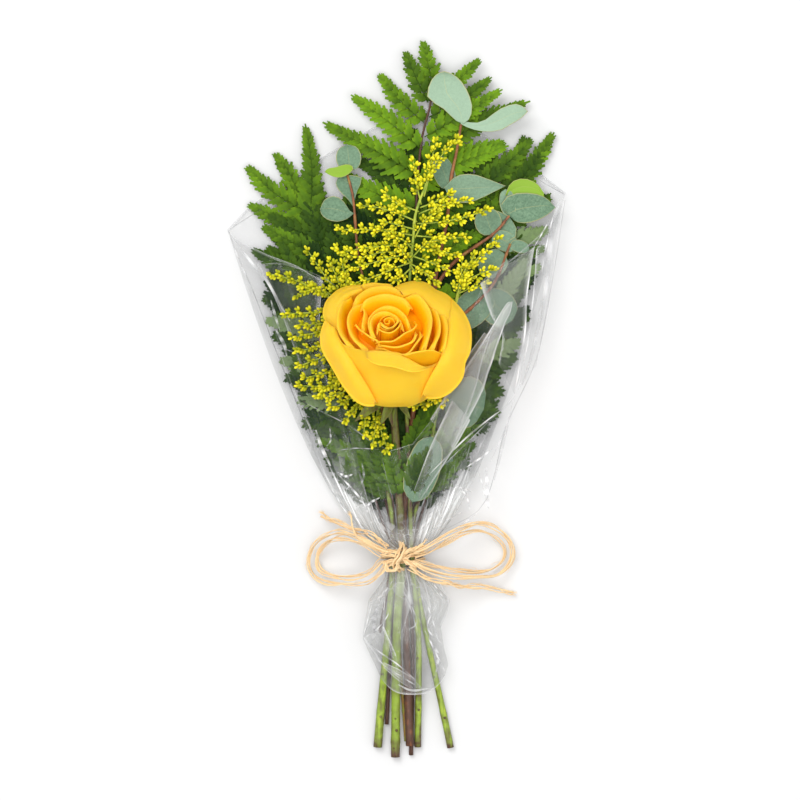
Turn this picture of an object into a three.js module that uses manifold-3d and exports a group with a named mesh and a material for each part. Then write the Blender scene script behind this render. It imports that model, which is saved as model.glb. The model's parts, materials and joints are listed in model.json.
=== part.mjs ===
// A small rose bouquet lying face up on a surface: one rose, goldenrod, leatherleaf fern and
// silver-dollar eucalyptus, gathered in a clear film cone and tied with a raffia bow.
// Millimetres. +X is to the right and +Y towards the flower, seen from above. The surface is z = 0.
// The origin lies on the surface, under the flat back of the film.
import * as THREE from "three";
import { mergeVertices } from "three/addons/utils/BufferGeometryUtils.js";
import Module from "manifold-3d";

const wasm = await Module();
wasm.setup();

// ---------------------------------------------------------------- driving dimensions
const FILM_THICKNESS = 0.8;
const FILM_COLOUR = 0xe4e6e8;
const FILM_PLEAT = 0.8; // how far the folds of the film's front stand in and out
const TIE_TOP_Y = -81; // the film is gathered to one narrow neck between these two
const TIE_BOTTOM_Y = -91;
const TIE_CENTRE = { x: 2, z: 13 };
const NECK_HALF_WIDTH = 10;
const NECK_HALF_HEIGHT = 9.2;
const SKIRT_BOTTOM_Y = -162;

const BLADE_THICKNESS = 0.7;
const PETAL_THICKNESS = 0.8;
const CLEARANCE = 0.3;

const BLOOM_BASE = new THREE.Vector3(-4, 8, 21);
const BLOOM_TILT = THREE.MathUtils.degToRad(40); // how far the bloom's axis leans from upright
const BLOOM_HEIGHT = 46;
const HIP_RADIUS = 4.8;
const HIP_LENGTH = 11;

const BUD_LENGTH = 4.2;
const BUD_RADIUS = 1.35;
const BUD_SPACING = 4.1;

const RAFFIA_DIAMETER = 2;
const RAFFIA_SIDES = 8;
const BAND_THICKNESS = 2;

const GREEN_FERN = 0x3f7a1c;
const GREEN_EUCALYPTUS = 0x7fa890;
const YELLOW_GOLDENROD = 0xd9cc2a;
const YELLOW_ROSE = 0xffc400;
const GREEN_STEM = 0x7d9a3c;
const STRAW_RAFFIA = 0xe6bd84;

// ---------------------------------------------------------------- helpers
function vector([x, y, z]) {
  return new THREE.Vector3(x, y, z);
}

function seededRandom(seed) {
  let state = seed;
  return () => {
    state = (state * 1664525 + 1013904223) % 4294967296;
    return state / 4294967296;
  };
}

function geometryOf(points, triangles) {
  const geometry = new THREE.BufferGeometry().setFromPoints(points);
  geometry.setIndex(triangles.flat());
  return geometry;
}

function solidOf(geometry) {
  const bare = geometry.clone();
  bare.deleteAttribute("normal");
  bare.deleteAttribute("uv");
  const merged = mergeVertices(bare, 1e-4);
  return new wasm.Manifold(
    new wasm.Mesh({
      numProp: 3,
      vertProperties: new Float32Array(merged.attributes.position.array),
      triVerts: new Uint32Array(merged.index.array),
    }),
  );
}

// Joins closed geometries into one closed body.
function fuse(geometries) {
  const joined = geometries.map(solidOf).reduce((whole, piece) => whole.add(piece));
  const mesh = joined.getMesh();
  const geometry = new THREE.BufferGeometry();
  const positions = new Float32Array(mesh.numVert * 3);
  for (let i = 0; i < mesh.numVert; i++) {
    positions.set(mesh.vertProperties.subarray(i * mesh.numProp, i * mesh.numProp + 3), i * 3);
  }
  geometry.setAttribute("position", new THREE.BufferAttribute(positions, 3));
  geometry.setIndex(new THREE.BufferAttribute(new Uint32Array(mesh.triVerts), 1));
  return geometry;
}

// Gives an open surface a thickness, so far outwards and so far inwards from its points. Both faces
// have the same triangles, and a wall joins their rims.
function blade(points, triangles, thickness, outwards = thickness / 2) {
  const normals = points.map(() => new THREE.Vector3());
  const edges = new Map();
  for (const [a, b, c] of triangles) {
    const normal = points[b].clone().sub(points[a]).cross(points[c].clone().sub(points[a]));
    for (const i of [a, b, c]) normals[i].add(normal);
    for (const [from, to] of [[a, b], [b, c], [c, a]]) edges.set(`${from},${to}`, [from, to]);
  }
  const count = points.length;
  const front = points.map((p, i) => p.clone().addScaledVector(normals[i].normalize(), outwards));
  const back = front.map((p, i) => p.clone().addScaledVector(normals[i], -thickness));
  const faces = triangles.flatMap(([a, b, c]) => [[a, b, c], [c + count, b + count, a + count]]);
  for (const [a, b] of edges.values()) {
    if (!edges.has(`${b},${a}`)) faces.push([b, a, a + count], [b, a + count, b + count]);
  }
  return geometryOf([...front, ...back], faces);
}

// A rod through the given points that tapers from one radius to the other.
function rod(route, startRadius, endRadius, sides, steps) {
  const curve = new THREE.CatmullRomCurve3(route.map(vector));
  const frames = curve.computeFrenetFrames(steps, false);
  const points = [];
  const faces = [];
  for (let i = 0; i <= steps; i++) {
    const centre = curve.getPointAt(i / steps);
    const radius = THREE.MathUtils.lerp(startRadius, endRadius, i / steps);
    for (let j = 0; j < sides; j++) {
      const angle = (2 * Math.PI * j) / sides;
      points.push(
        centre
          .clone()
          .addScaledVector(frames.normals[i], radius * Math.cos(angle))
          .addScaledVector(frames.binormals[i], radius * Math.sin(angle)),
      );
    }
  }
  for (let i = 0; i < steps; i++) {
    for (let j = 0; j < sides; j++) {
      const a = i * sides + j;
      const b = i * sides + ((j + 1) % sides);
      faces.push([a, b, b + sides], [a, b + sides, a + sides]);
    }
  }
  const last = steps * sides;
  for (let j = 1; j < sides - 1; j++) {
    faces.push([0, j + 1, j], [last, last + j, last + j + 1]);
  }
  return geometryOf(points, faces);
}

function piece(name, geometry, colour, roughness, extra = {}) {
  const material = new THREE.MeshStandardMaterial({ color: colour, roughness, metalness: 0, ...extra });
  const mesh = new THREE.Mesh(geometry, material);
  mesh.name = name;
  return mesh;
}

// ---------------------------------------------------------------- film sleeve
// Where the mouth's edge runs, from the back's middle point round by the right corner, the dip below
// the rose and the left corner.
const MOUTH_EDGE = [
  [11, 162, 0], [34, 154, 0], [58, 140, 0], [79, 124, 0], [91.3, 114.4, 1],
  [88, 104, 11.5], [76, 90, 15], [61, 77, 16.5], [46, 65, 16], [38, 44, 15],
  [32, 18, 15.5], [21, -6, 19], [7, -24, 23], [-6, -28, 24], [-18, -20, 22],
  [-31, -2, 16], [-37, 22, 13.5], [-37, 45, 13], [-42, 65, 13], [-57, 74, 13],
  [-73, 80, 12.5], [-90, 88, 9], [-95.2, 94, 1], [-84, 106, 0], [-66, 119, 0],
  [-40, 136, 0], [-14, 151, 0],
];
const MOUTH_ROWS = [0, 0.06, 0.14, 0.26, 0.42, 0.6, 0.8, 1];
const SHOULDER_POWER = 0.6; // how quickly the cone widens above the tie
const FRONT_DOME = 5;
// Below the tie: share of the way down, left and right edge, and height of the top.
const SKIRT_ROWS = [
  { down: 0.1, left: -8.6, right: 13, top: 22.4 },
  { down: 0.27, left: -17.5, right: 26.5, top: 20.5 },
  { down: 0.55, left: -20, right: 23.5, top: 17.5 },
  { down: 0.8, left: -15, right: 27, top: 15.5 },
  { down: 1, left: -14, right: 25.5, top: 13 },
];
const SKIRT_CORNER_RISE = 11; // the skirt's sides end this much higher than its middle

function neckPoint(station, y) {
  const angle = -Math.PI / 2 + (2 * Math.PI * station) / MOUTH_EDGE.length;
  const x = TIE_CENTRE.x + NECK_HALF_WIDTH * Math.cos(angle);
  const z = TIE_CENTRE.z + NECK_HALF_HEIGHT * Math.sin(angle);
  return new THREE.Vector3(x, y, z);
}

function conePoint(station, along) {
  const neck = neckPoint(station, TIE_TOP_Y);
  const rim = vector(MOUTH_EDGE[station]);
  const settle = THREE.MathUtils.smoothstep(along, 0, 0.17);
  const isBack = rim.z < 2;
  const front = THREE.MathUtils.smoothstep(rim.z, 9, 16);
  const fade = Math.sin(Math.PI * Math.min(1, along * 1.15));
  const pleat = station % 2 ? FILM_PLEAT : -FILM_PLEAT;
  const x = THREE.MathUtils.lerp(neck.x, rim.x, along ** SHOULDER_POWER);
  const y = THREE.MathUtils.lerp(neck.y, rim.y, along);
  const z = isBack
    ? THREE.MathUtils.lerp(neck.z, rim.z, settle)
    : THREE.MathUtils.lerp(neck.z, rim.z, along ** 0.8) + front * fade * (FRONT_DOME + pleat);
  return new THREE.Vector3(x, y, z);
}

function skirtPoint(station, row) {
  const angle = -Math.PI / 2 + (2 * Math.PI * station) / MOUTH_EDGE.length;
  const middle = (row.left + row.right) / 2;
  const halfWidth = (row.right - row.left) / 2;
  const rise = SKIRT_CORNER_RISE * Math.abs(Math.cos(angle)) ** 3 * row.down ** 2;
  const pleat = (station % 2 ? 0.5 : -0.5) * FILM_PLEAT * row.down;
  const x = middle + halfWidth * Math.cos(angle);
  const y = THREE.MathUtils.lerp(TIE_BOTTOM_Y, SKIRT_BOTTOM_Y, row.down) + rise;
  const bottom = row.down < 0.2 ? TIE_CENTRE.z - NECK_HALF_HEIGHT : 0;
  const height = THREE.MathUtils.lerp(bottom, row.top, (1 + Math.sin(angle)) / 2);
  return new THREE.Vector3(x, y, Math.max(0, height + (Math.sin(angle) > 0 ? pleat : 0)));
}

function filmSleeve() {
  const stations = MOUTH_EDGE.length;
  const rows = [];
  for (const row of [...SKIRT_ROWS].reverse()) {
    rows.push(MOUTH_EDGE.map((_, k) => skirtPoint(k, row)));
  }
  rows.push(MOUTH_EDGE.map((_, k) => neckPoint(k, TIE_BOTTOM_Y)));
  for (const along of MOUTH_ROWS) rows.push(MOUTH_EDGE.map((_, k) => conePoint(k, along)));
  const points = rows.flat();
  const faces = [];
  for (let i = 0; i < rows.length - 1; i++) {
    for (let k = 0; k < stations; k++) {
      const a = i * stations + k;
      const b = i * stations + ((k + 1) % stations);
      faces.push([a, a + stations, b], [b, a + stations, b + stations]);
    }
  }
  // The wall grows inwards, so that the sleeve's back stays on the surface.
  return blade(points, faces, FILM_THICKNESS, 0);
}

// ---------------------------------------------------------------- fern
const TEETH = 4; // lobes on each side of a leaflet

// One leaflet, cut almost to its rib: a narrow strip with a forward-leaning lobe on each side.
function leaflet(root, tip, halfWidth, level) {
  const start = new THREE.Vector3(root[0], root[1], level);
  const end = new THREE.Vector3(tip[0], tip[1], level);
  const axis = end.clone().sub(start);
  const side = new THREE.Vector3(-axis.y, axis.x, 0).normalize();
  const width = (t) => halfWidth * Math.sin(Math.PI * Math.min(1, 0.14 + 0.86 * t) ** 0.75) ** 0.8;
  const points = [];
  const faces = [];
  for (let i = 0; i <= TEETH; i++) {
    const t = i / (TEETH + 0.6);
    const centre = start.clone().addScaledVector(axis, t);
    const half = 0.55 + 0.3 * width(t);
    points.push(centre.clone().addScaledVector(side, half), centre.clone().addScaledVector(side, -half));
  }
  const end0 = points.length;
  points.push(end);
  for (let i = 0; i < TEETH; i++) {
    const a = 2 * i;
    faces.push([a, a + 1, a + 3], [a, a + 3, a + 2]);
    for (const [hand, low, high] of [[1, a, a + 2], [-1, a + 1, a + 3]]) {
      const t = (i + 1.25) / (TEETH + 1.2);
      const lobe = start.clone().addScaledVector(axis, t);
      lobe.addScaledVector(side, hand * width((i + 0.5) / TEETH));
      lobe.z -= 0.15;
      points.push(lobe);
      const corner = points.length - 1;
      faces.push(hand > 0 ? [low, high, corner] : [high, low, corner]);
    }
  }
  faces.push([2 * TEETH, 2 * TEETH + 1, end0]);
  return blade(points, faces, BLADE_THICKNESS);
}

// A frond: its stalk's route, and each leaflet's root, tip and half width in plan.
const LOW_LAYER = 2.9;
const HIGH_LAYER = 5.5;
const FRONDS = {
  fern_frond_centre: {
    level: HIGH_LAYER,
    stalk: [
      [-2.4, -138, 3.3], [0.2, -86, 7.6], [1, -50, 5.7], [3, 0, 5.1], [7, 70, 5.1],
      [11, 136, 5.1], [16.5, 162, 5.1], [18.5, 176, 5.1],
    ],
    radii: [1.1, 0.75],
    leaflets: [
      [[18, 172], [12.7, 197.5], 6.5], [[15.5, 164], [3, 192], 6.5], [[13.2, 153], [-11.6, 180], 7],
      [[11, 139], [-27, 168], 8], [[10.2, 124], [-42.6, 153], 9],
      [[17, 166], [44.3, 187.6], 6.5], [[16, 156], [50.6, 178], 7], [[13.5, 145], [56.4, 171], 7.5],
      [[11, 130], [71.8, 164.7], 9],
    ],
  },
  fern_frond_left: {
    level: LOW_LAYER,
    stalk: [
      [-7.3, -179, 1.4], [-3.6, -86, 8.8], [-9, -50, 4.6], [-20, 0, 2.8], [-32, 50, 2.6],
      [-43, 85, 2.5], [-55, 108, 2.5],
    ],
    radii: [1.1, 0.75],
    leaflets: [
      [[-53, 104], [-69.3, 136.4], 7], [[-47, 92], [-84.8, 129], 8], [[-45, 88], [-80, 106], 7],
      [[-44, 86], [-52.3, 152.4], 7.5], [[-38, 70], [-22, 112], 8],
      [[-37, 66], [-74, 84], 8], [[-33, 54], [-12, 92], 8],
    ],
  },
  fern_frond_right: {
    level: LOW_LAYER,
    stalk: [
      [6.1, -196, 1.6], [6.9, -131, 4.6], [3.6, -86, 7.9], [10, -50, 4.6], [22, 0, 2.8],
      [36, 50, 2.6], [48, 90, 2.5], [58, 113, 2.5],
    ],
    radii: [1.25, 0.75],
    leaflets: [
      [[56, 110], [85, 147.6], 8], [[56.5, 110.5], [83.3, 140], 6.5], [[53, 100], [83, 112], 8],
      [[50, 94], [46, 139], 8], [[45, 82], [82, 94], 8], [[41, 68], [26, 108], 8],
      [[40, 62], [76, 74], 7.5],
    ],
  },
  fern_frond_lower_left: {
    level: HIGH_LAYER,
    stalk: [
      [-11, -128, 7], [-5.1, -86, 10.9], [-12, -60, 7.2], [-20, -35, 5.4], [-31, -8, 5.1],
      [-37, 15, 5.1], [-42, 35, 5.1], [-46, 62, 5.1],
    ],
    radii: [0.9, 0.75],
    leaflets: [
      [[-46, 62], [-82, 83], 7.5], [[-45, 56], [-69, 84], 7], [[-43, 42], [-76, 56], 8],
      [[-40, 26], [-70, 36], 8], [[-36, 10], [-63, 12], 8], [[-31, -8], [-54, -12], 7.5],
      [[-24, -25], [-44, -33], 6.5],
    ],
  },
  fern_frond_lower_right: {
    level: HIGH_LAYER,
    stalk: [
      [10, -122, 4.2], [7, -98, 7.1], [6.2, -86, 7.3], [14, -55, 5.6], [25, -24, 5.2], [34, 0, 5.1],
      [42, 26, 5.1], [48, 48, 5.1],
    ],
    radii: [0.9, 0.75],
    leaflets: [
      [[47, 45], [72, 67], 7.5], [[44, 34], [71, 46], 7.5], [[40, 20], [64, 24], 8],
      [[35, 4], [56.5, 4], 7.5], [[29, -12], [48, -16], 7], [[22, -30], [40, -37], 6],
    ],
  },
};

const STALK_STEPS = 12;

function fernFrond({ level, stalk, radii, leaflets }) {
  const parts = [rod(stalk, radii[0], radii[1], 4, STALK_STEPS)];
  leaflets.forEach(([root, tip, halfWidth], i) => {
    parts.push(leaflet(root, tip, halfWidth, level + (i % 2 ? 0.5 : -0.5)));
  });
  return fuse(parts);
}

// ---------------------------------------------------------------- eucalyptus
const LEAF_STATIONS = 4;

// A broad leaf, a little arched across its rib, from its stalk's end to its far edge.
function roundLeaf([base, tip, width]) {
  const start = vector(base);
  const axis = vector(tip).sub(start);
  const side = new THREE.Vector3(-axis.y, axis.x, 0).normalize();
  const points = [start];
  const faces = [];
  for (let i = 1; i < LEAF_STATIONS; i++) {
    const t = i / LEAF_STATIONS;
    const half = (width / 2) * Math.sqrt(Math.max(0, 1 - (2 * t - 1) ** 2)) ** 0.8;
    const centre = start.clone().addScaledVector(axis, t);
    for (const hand of [1, 0, -1]) {
      const point = centre.clone().addScaledVector(side, hand * half);
      point.z += hand ? 0 : 0.7;
      points.push(point);
    }
  }
  points.push(start.clone().add(axis));
  faces.push([0, 2, 1], [0, 3, 2]);
  for (let i = 0; i < LEAF_STATIONS - 2; i++) {
    const a = 1 + 3 * i;
    faces.push([a, a + 1, a + 3], [a + 1, a + 4, a + 3]);
    faces.push([a + 1, a + 2, a + 4], [a + 2, a + 5, a + 4]);
  }
  const last = points.length - 1;
  faces.push([last - 3, last - 2, last], [last - 2, last - 1, last]);
  return blade(points, faces, BLADE_THICKNESS);
}

const EUCALYPTUS = {
  eucalyptus_sprig_right: {
    stems: [
      {
        route: [
          [5.5, -190.6, 6], [3.4, -130, 8.8], [1.6, -86, 12.6], [4, -40, 9.6], [8, 0, 8.8], [12, 30, 8.6],
          [20, 70, 8.8], [26, 100, 9], [28, 121, 9.4], [33.6, 151.8, 10],
        ],
        radii: [2.3, 0.7],
        steps: 12,
      },
      {
        route: [[18, 60, 8.8], [30, 76, 9.2], [51.2, 91.3, 9.8], [60.5, 101.8, 10.2]],
        radii: [1.2, 0.7],
        steps: 5,
      },
      { route: [[13, 34, 8.6], [26, 40, 9], [50, 62, 9.4], [60.8, 86, 9.6]], radii: [1.1, 0.7], steps: 5 },
      { route: [[9, 4, 8.8], [16, 8, 9], [26, 2, 9.2]], radii: [1.1, 0.8], steps: 3 },
      { route: [[4.5, -34, 9.7], [10, -36, 9.6], [15, -42, 9.6]], radii: [1.1, 0.8], steps: 3 },
    ],
    leaves: [
      [[33.6, 151, 10], [22, 180, 11], 22], [[33.6, 151, 10], [70, 158, 10.5], 16],
      [[60.5, 101, 10.2], [84.5, 102, 10.6], 17], [[60.5, 101, 10.2], [78, 119, 9], 12],
      [[27.6, 116, 9.2], [57, 118, 9.2], 17], [[51, 91, 9.8], [46, 105, 8.4], 13],
      [[51, 91, 9.8], [64, 84, 8.6], 11], [[58, 80, 9.6], [44, 72, 8.6], 12],
      [[60, 84, 9.6], [70, 80, 8.6], 8], [[30, 41, 9], [52, 58, 9.4], 19],
      [[26, 2, 9.2], [45, -6, 9.4], 28], [[16, 7, 9], [30, 24, 8.4], 14],
      [[15, -42, 9.6], [13, -28, 9.2], 15], [[14, -41, 9.6], [28, -34, 9.2], 9],
    ],
  },
  eucalyptus_sprig_left: {
    stems: [
      {
        route: [
          [3.2, -188.3, 1.3], [-0.7, -130, 6.2], [-1.8, -86, 11.1], [-6, -40, 7.8], [-12, 10, 8.2],
          [-17, 50, 8.8], [-23, 80, 9.2], [-24.5, 96, 9.6], [-25.9, 112, 9.8], [-29, 124, 10],
        ],
        radii: [0.9, 0.7],
        steps: 12,
      },
    ],
    leaves: [
      [[-29, 123, 10], [-28, 141, 10.4], 15], [[-29, 123, 10], [-42, 124, 9.4], 8],
      [[-24.4, 97, 9.6], [-43, 108, 9], 13], [[-24.6, 98, 9.6], [-30, 121, 8.2], 13],
    ],
  },
};

function eucalyptusSprig({ stems, leaves }) {
  const parts = stems.map(({ route, radii, steps }, i) => rod(route, radii[0], radii[1], i ? 4 : 5, steps));
  return fuse([...parts, ...leaves.map(roundLeaf)]);
}

// ---------------------------------------------------------------- goldenrod
const TWIG_STEPS = 3;

// Buds stand all round the outer part of a twig, leaning towards its tip.
function budsAlong(route, bareShare, random) {
  const joints = new THREE.CatmullRomCurve3(route.map(vector)).getSpacedPoints(TWIG_STEPS);
  const twig = new THREE.CurvePath();
  for (let i = 0; i < TWIG_STEPS; i++) twig.add(new THREE.LineCurve3(joints[i], joints[i + 1]));
  const count = Math.max(3, Math.round((twig.getLength() * (1 - bareShare)) / BUD_SPACING));
  const buds = [];
  for (let i = 0; i < count; i++) {
    const t = bareShare + (1 - bareShare) * ((i + 0.8) / count);
    const along = twig.getTangentAt(t - 0.01);
    const across = new THREE.Vector3(-along.y, along.x, 0).normalize();
    const upwards = across.clone().cross(along).negate();
    const turn = 2.4 * i + 0.6 * random();
    const lean = along.clone().multiplyScalar(0.75);
    lean.addScaledVector(across, Math.cos(turn)).addScaledVector(upwards, 0.7 * Math.sin(turn));
    lean.normalize();
    const bud = new THREE.SphereGeometry(1, 3, 2);
    bud.scale(BUD_RADIUS, BUD_LENGTH / 2, BUD_RADIUS);
    bud.applyQuaternion(new THREE.Quaternion().setFromUnitVectors(new THREE.Vector3(0, 1, 0), lean));
    const place = twig.getPointAt(t).addScaledVector(lean, BUD_LENGTH * 0.47);
    bud.translate(place.x, place.y, place.z);
    buds.push(bud);
  }
  return buds;
}

const GOLDENROD = {
  goldenrod_spray_top: {
    stem: {
      route: [
        [9.8, -191.4, 2.2], [10.2, -131, 9.2], [6.3, -86, 15.4], [5.2, -38, 15], [3.4, 0, 12.2],
        [3.4, 30, 11], [5, 62, 12.5], [7.2, 88, 15], [8.8, 103, 16.5], [14.5, 119, 18],
      ],
      radii: [1.95, 0.8],
    },
    twigs: [
      [[14, 117, 17.8], [20, 130, 18.5], [32, 143, 19.5]],
      [[14, 117, 17.8], [18, 128, 20], [19.8, 141, 22]],
      [[10, 106, 16.8], [8, 118, 17.5], [6.5, 131, 18.5]],
      [[9, 103, 16.5], [0, 108, 18], [-8, 113.3, 19]],
      [[8.4, 98, 16], [-8, 103, 17.5], [-22, 106.7, 18.5]],
      [[7.6, 92, 15.4], [-14, 92, 17.5], [-33.8, 93.5, 19]],
      [[7.2, 86, 14.8], [-8, 84, 19], [-26, 78, 20]],
      [[11, 109, 17], [20, 112, 17.5], [28.4, 113.5, 19]],
      [[9.2, 103, 16.5], [24, 103, 18], [38, 110, 19]],
      [[8.2, 96, 15.8], [26, 95, 18], [48, 104.4, 19]],
      [[6.8, 82, 14.2], [16, 82, 17], [28, 88, 19]],
      [[6.2, 76, 13.6], [14, 74, 18], [20, 70, 21]],
    ],
  },
  goldenrod_spray_left: {
    stem: {
      route: [
        [-12.3, -191.4, 2.7], [-3.9, -86, 14.6], [-8, -40, 12.4], [-13, 0, 11.2], [-22, 27, 13.2],
        [-31, 45, 16], [-41, 59, 18.5],
      ],
      radii: [2.5, 0.8],
    },
    twigs: [
      [[-40, 58, 18.3], [-54, 64, 19.5], [-70.4, 69, 20.5]],
      [[-40, 58, 18.3], [-48, 70, 21], [-50.6, 82, 21.5]],
      [[-38, 55, 17.8], [-34, 66, 21], [-33, 77, 22]],
      [[-34, 50, 17], [-48, 50, 19.5], [-62.7, 47.3, 20.5]],
      [[-29, 42, 15.4], [-42, 38, 18.5], [-57, 27, 19.5]],
      [[-25, 34, 14.2], [-40, 26, 19.5], [-57, 24, 20.5]],
      [[-21, 25, 13], [-36, 16, 20.5], [-50.6, 11, 21]],
      [[-16, 10, 11.6], [-30, 0, 19.5], [-44, -1, 22]],
      [[-14.5, 4, 11.4], [-24, -6, 20], [-36, -10, 25]],
      [[-12, -6, 11.4], [-13.5, -13, 20], [-12, -27, 28]],
    ],
  },
  goldenrod_spray_right: {
    stem: {
      route: [
        [27.9, -191.8, 2.2], [7, -86, 10.4], [14.5, -40, 12.4], [21, 0, 13.4], [25, 30, 13.6], [32, 58, 15],
      ],
      radii: [1.95, 0.8],
    },
    twigs: [
      [[31, 56, 14.9], [36, 64, 17], [50, 71.5, 19]],
      [[31, 56, 14.9], [36, 72, 17], [54.5, 88.6, 19]],
      [[30, 52, 14.7], [32, 66, 19], [30, 76, 22]],
      [[22, 8, 13.4], [22, 3, 20], [16, -2, 25]],
    ],
  },
};

const STEM_STEPS = 11;

function goldenrodSpray({ stem, twigs }, seed) {
  const random = seededRandom(seed);
  const parts = [rod(stem.route, stem.radii[0], stem.radii[1], 5, STEM_STEPS)];
  for (const route of twigs) {
    parts.push(rod(route, 0.65, 0.5, 3, TWIG_STEPS));
    parts.push(...budsAlong(route, 0.25, random));
  }
  return fuse(parts);
}

// ---------------------------------------------------------------- rose
// Petal layers from the heart out. cells is the number of facets across a petal, and roll is how far
// its rim rolls back.
const PETAL_LAYERS = [
  { count: 3, cells: 3, radius: 10, height: 46, halfWidth: 10.5, roll: 0.5, turn: 0.4 },
  { count: 3, cells: 3, radius: 16, height: 46, halfWidth: 16, roll: 1, turn: 1.3 },
  { count: 5, cells: 3, radius: 22.5, height: 44.5, halfWidth: 15, roll: 1.5, turn: 0.9 },
  { count: 5, cells: 3, radius: 29.5, height: 41, halfWidth: 18.5, roll: 3.5, turn: -Math.PI / 2 },
  { count: 5, cells: 4, radius: 35.5, height: 36, halfWidth: 22, roll: 5, turn: 0.1 },
];
const PETAL_ALONG = 3;

function petal({ cells, radius, height, halfWidth, roll }, turn) {
  const points = [];
  const faces = [];
  for (let j = 0; j <= PETAL_ALONG; j++) {
    const up = j / PETAL_ALONG;
    const belly = radius * Math.sin((Math.PI / 2) * Math.min(1, 0.12 + 1.05 * up)) ** 0.9;
    const half = halfWidth * (0.3 + 0.7 * Math.sin((Math.PI / 2) * Math.min(1, 1.25 * up)));
    for (let i = 0; i <= cells; i++) {
      const across = (2 * i) / cells - 1;
      const edge = across * across * up * up;
      const out = belly + roll * up ** 4 + across * 1.3 + edge * roll * 0.4;
      const angle = turn + (across * half) / Math.max(belly, 4);
      const high = 2 + (height - 2) * up - edge * (2 + roll * 1.2) - roll * 0.5 * up ** 4;
      points.push(new THREE.Vector3(out * Math.cos(angle), out * Math.sin(angle), high));
    }
  }
  for (let j = 0; j < PETAL_ALONG; j++) {
    for (let i = 0; i < cells; i++) {
      const a = j * (cells + 1) + i;
      const b = a + cells + 1;
      faces.push([a, a + 1, b + 1], [a, b + 1, b]);
    }
  }
  return blade(points, faces, PETAL_THICKNESS);
}

// The rolled heart: one strip wound two and a half turns, widest at its top.
function rolledHeart() {
  const steps = 17;
  const turns = 2.3;
  const points = [];
  const faces = [];
  for (let i = 0; i <= steps; i++) {
    const share = i / steps;
    const angle = 2 * Math.PI * turns * share;
    const radius = 0.9 + 5.2 * share;
    const top = BLOOM_HEIGHT - 3 + 2.5 * share;
    for (const [height, scale] of [[26, 0.75], [top, 1]]) {
      const x = radius * scale * Math.cos(angle);
      points.push(new THREE.Vector3(x, radius * scale * Math.sin(angle), height));
    }
  }
  for (let i = 0; i < steps; i++) {
    const a = 2 * i;
    faces.push([a, a + 2, a + 3], [a, a + 3, a + 1]);
  }
  return blade(points, faces, 0.7);
}

function placeOnBloom(geometry) {
  geometry.rotateX(-BLOOM_TILT);
  geometry.translate(BLOOM_BASE.x, BLOOM_BASE.y, BLOOM_BASE.z);
  return geometry;
}

function roseBloom() {
  const core = new THREE.LatheGeometry(
    [[0, 0], [4.6, 0.6], [8.5, 6], [7.5, 16], [5.6, 30], [0, 32]].map(([r, h]) => new THREE.Vector2(r, h)),
    8,
  );
  core.rotateX(Math.PI / 2);
  const parts = [core, rolledHeart()];
  for (const layer of PETAL_LAYERS) {
    for (let i = 0; i < layer.count; i++) {
      parts.push(petal(layer, layer.turn + (2 * Math.PI * i) / layer.count));
    }
  }
  return placeOnBloom(fuse(parts));
}

// Sepals hang back from the hip: root, middle, tip and half width.
const SEPALS = [
  [[-7, 3, 17], [-17, -5, 21], [-25, -12, 23], 3.2],
  [[-4, 1, 17], [-4, -10, 21], [-3, -27, 21.5], 3],
  [[0, 3, 17], [6, -1, 20], [13, -3, 21.5], 2.6],
];

function sepal([root, middle, tip, halfWidth]) {
  const curve = new THREE.QuadraticBezierCurve3(vector(root), vector(middle), vector(tip));
  const points = [];
  const faces = [];
  const steps = 4;
  for (let i = 0; i < steps; i++) {
    const t = i / steps;
    const along = curve.getTangent(t);
    const across = new THREE.Vector3(-along.y, along.x, 0).normalize();
    const half = halfWidth * Math.sin(Math.PI * (0.35 + 0.6 * t));
    points.push(curve.getPoint(t).addScaledVector(across, half));
    points.push(curve.getPoint(t).addScaledVector(across, -half));
  }
  points.push(curve.getPoint(1));
  for (let i = 0; i < steps - 1; i++) {
    const a = 2 * i;
    faces.push([a, a + 1, a + 3], [a, a + 3, a + 2]);
  }
  faces.push([2 * steps - 2, 2 * steps - 1, 2 * steps]);
  return blade(points, faces, BLADE_THICKNESS);
}

function roseStem() {
  const hip = new THREE.LatheGeometry(
    [[0, -HIP_LENGTH], [2.4, -HIP_LENGTH], [HIP_RADIUS, -5], [HIP_RADIUS, -CLEARANCE], [0, -CLEARANCE]]
      .map(([r, h]) => new THREE.Vector2(r, h)),
    8,
  );
  hip.rotateX(Math.PI / 2);
  const hipEnd = new THREE.Vector3(0, -Math.sin(BLOOM_TILT), -Math.cos(BLOOM_TILT))
    .multiplyScalar(HIP_LENGTH - 2)
    .add(BLOOM_BASE);
  const stem = rod(
    [
      [-2.6, -196.8, 2.7], [-1.7, -128, 13.4], [1, -86, 18.2], [-0.6, -50, 16.6], [-1.6, -30, 14],
      [-3.2, -10, hipEnd.z - 3], hipEnd.toArray(),
    ],
    2.5, 2.2, 6, 14,
  );
  const scars = [[-1.9, -176, 5], [-0.9, -143, 10.5]].map(([x, y, z]) => {
    const scar = new THREE.ConeGeometry(1.2, 3, 4);
    scar.rotateX(Math.PI / 2);
    scar.translate(x, y, z + 1.4);
    return scar;
  });
  return fuse([stem, placeOnBloom(hip), ...SEPALS.map(sepal), ...scars]);
}

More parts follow.
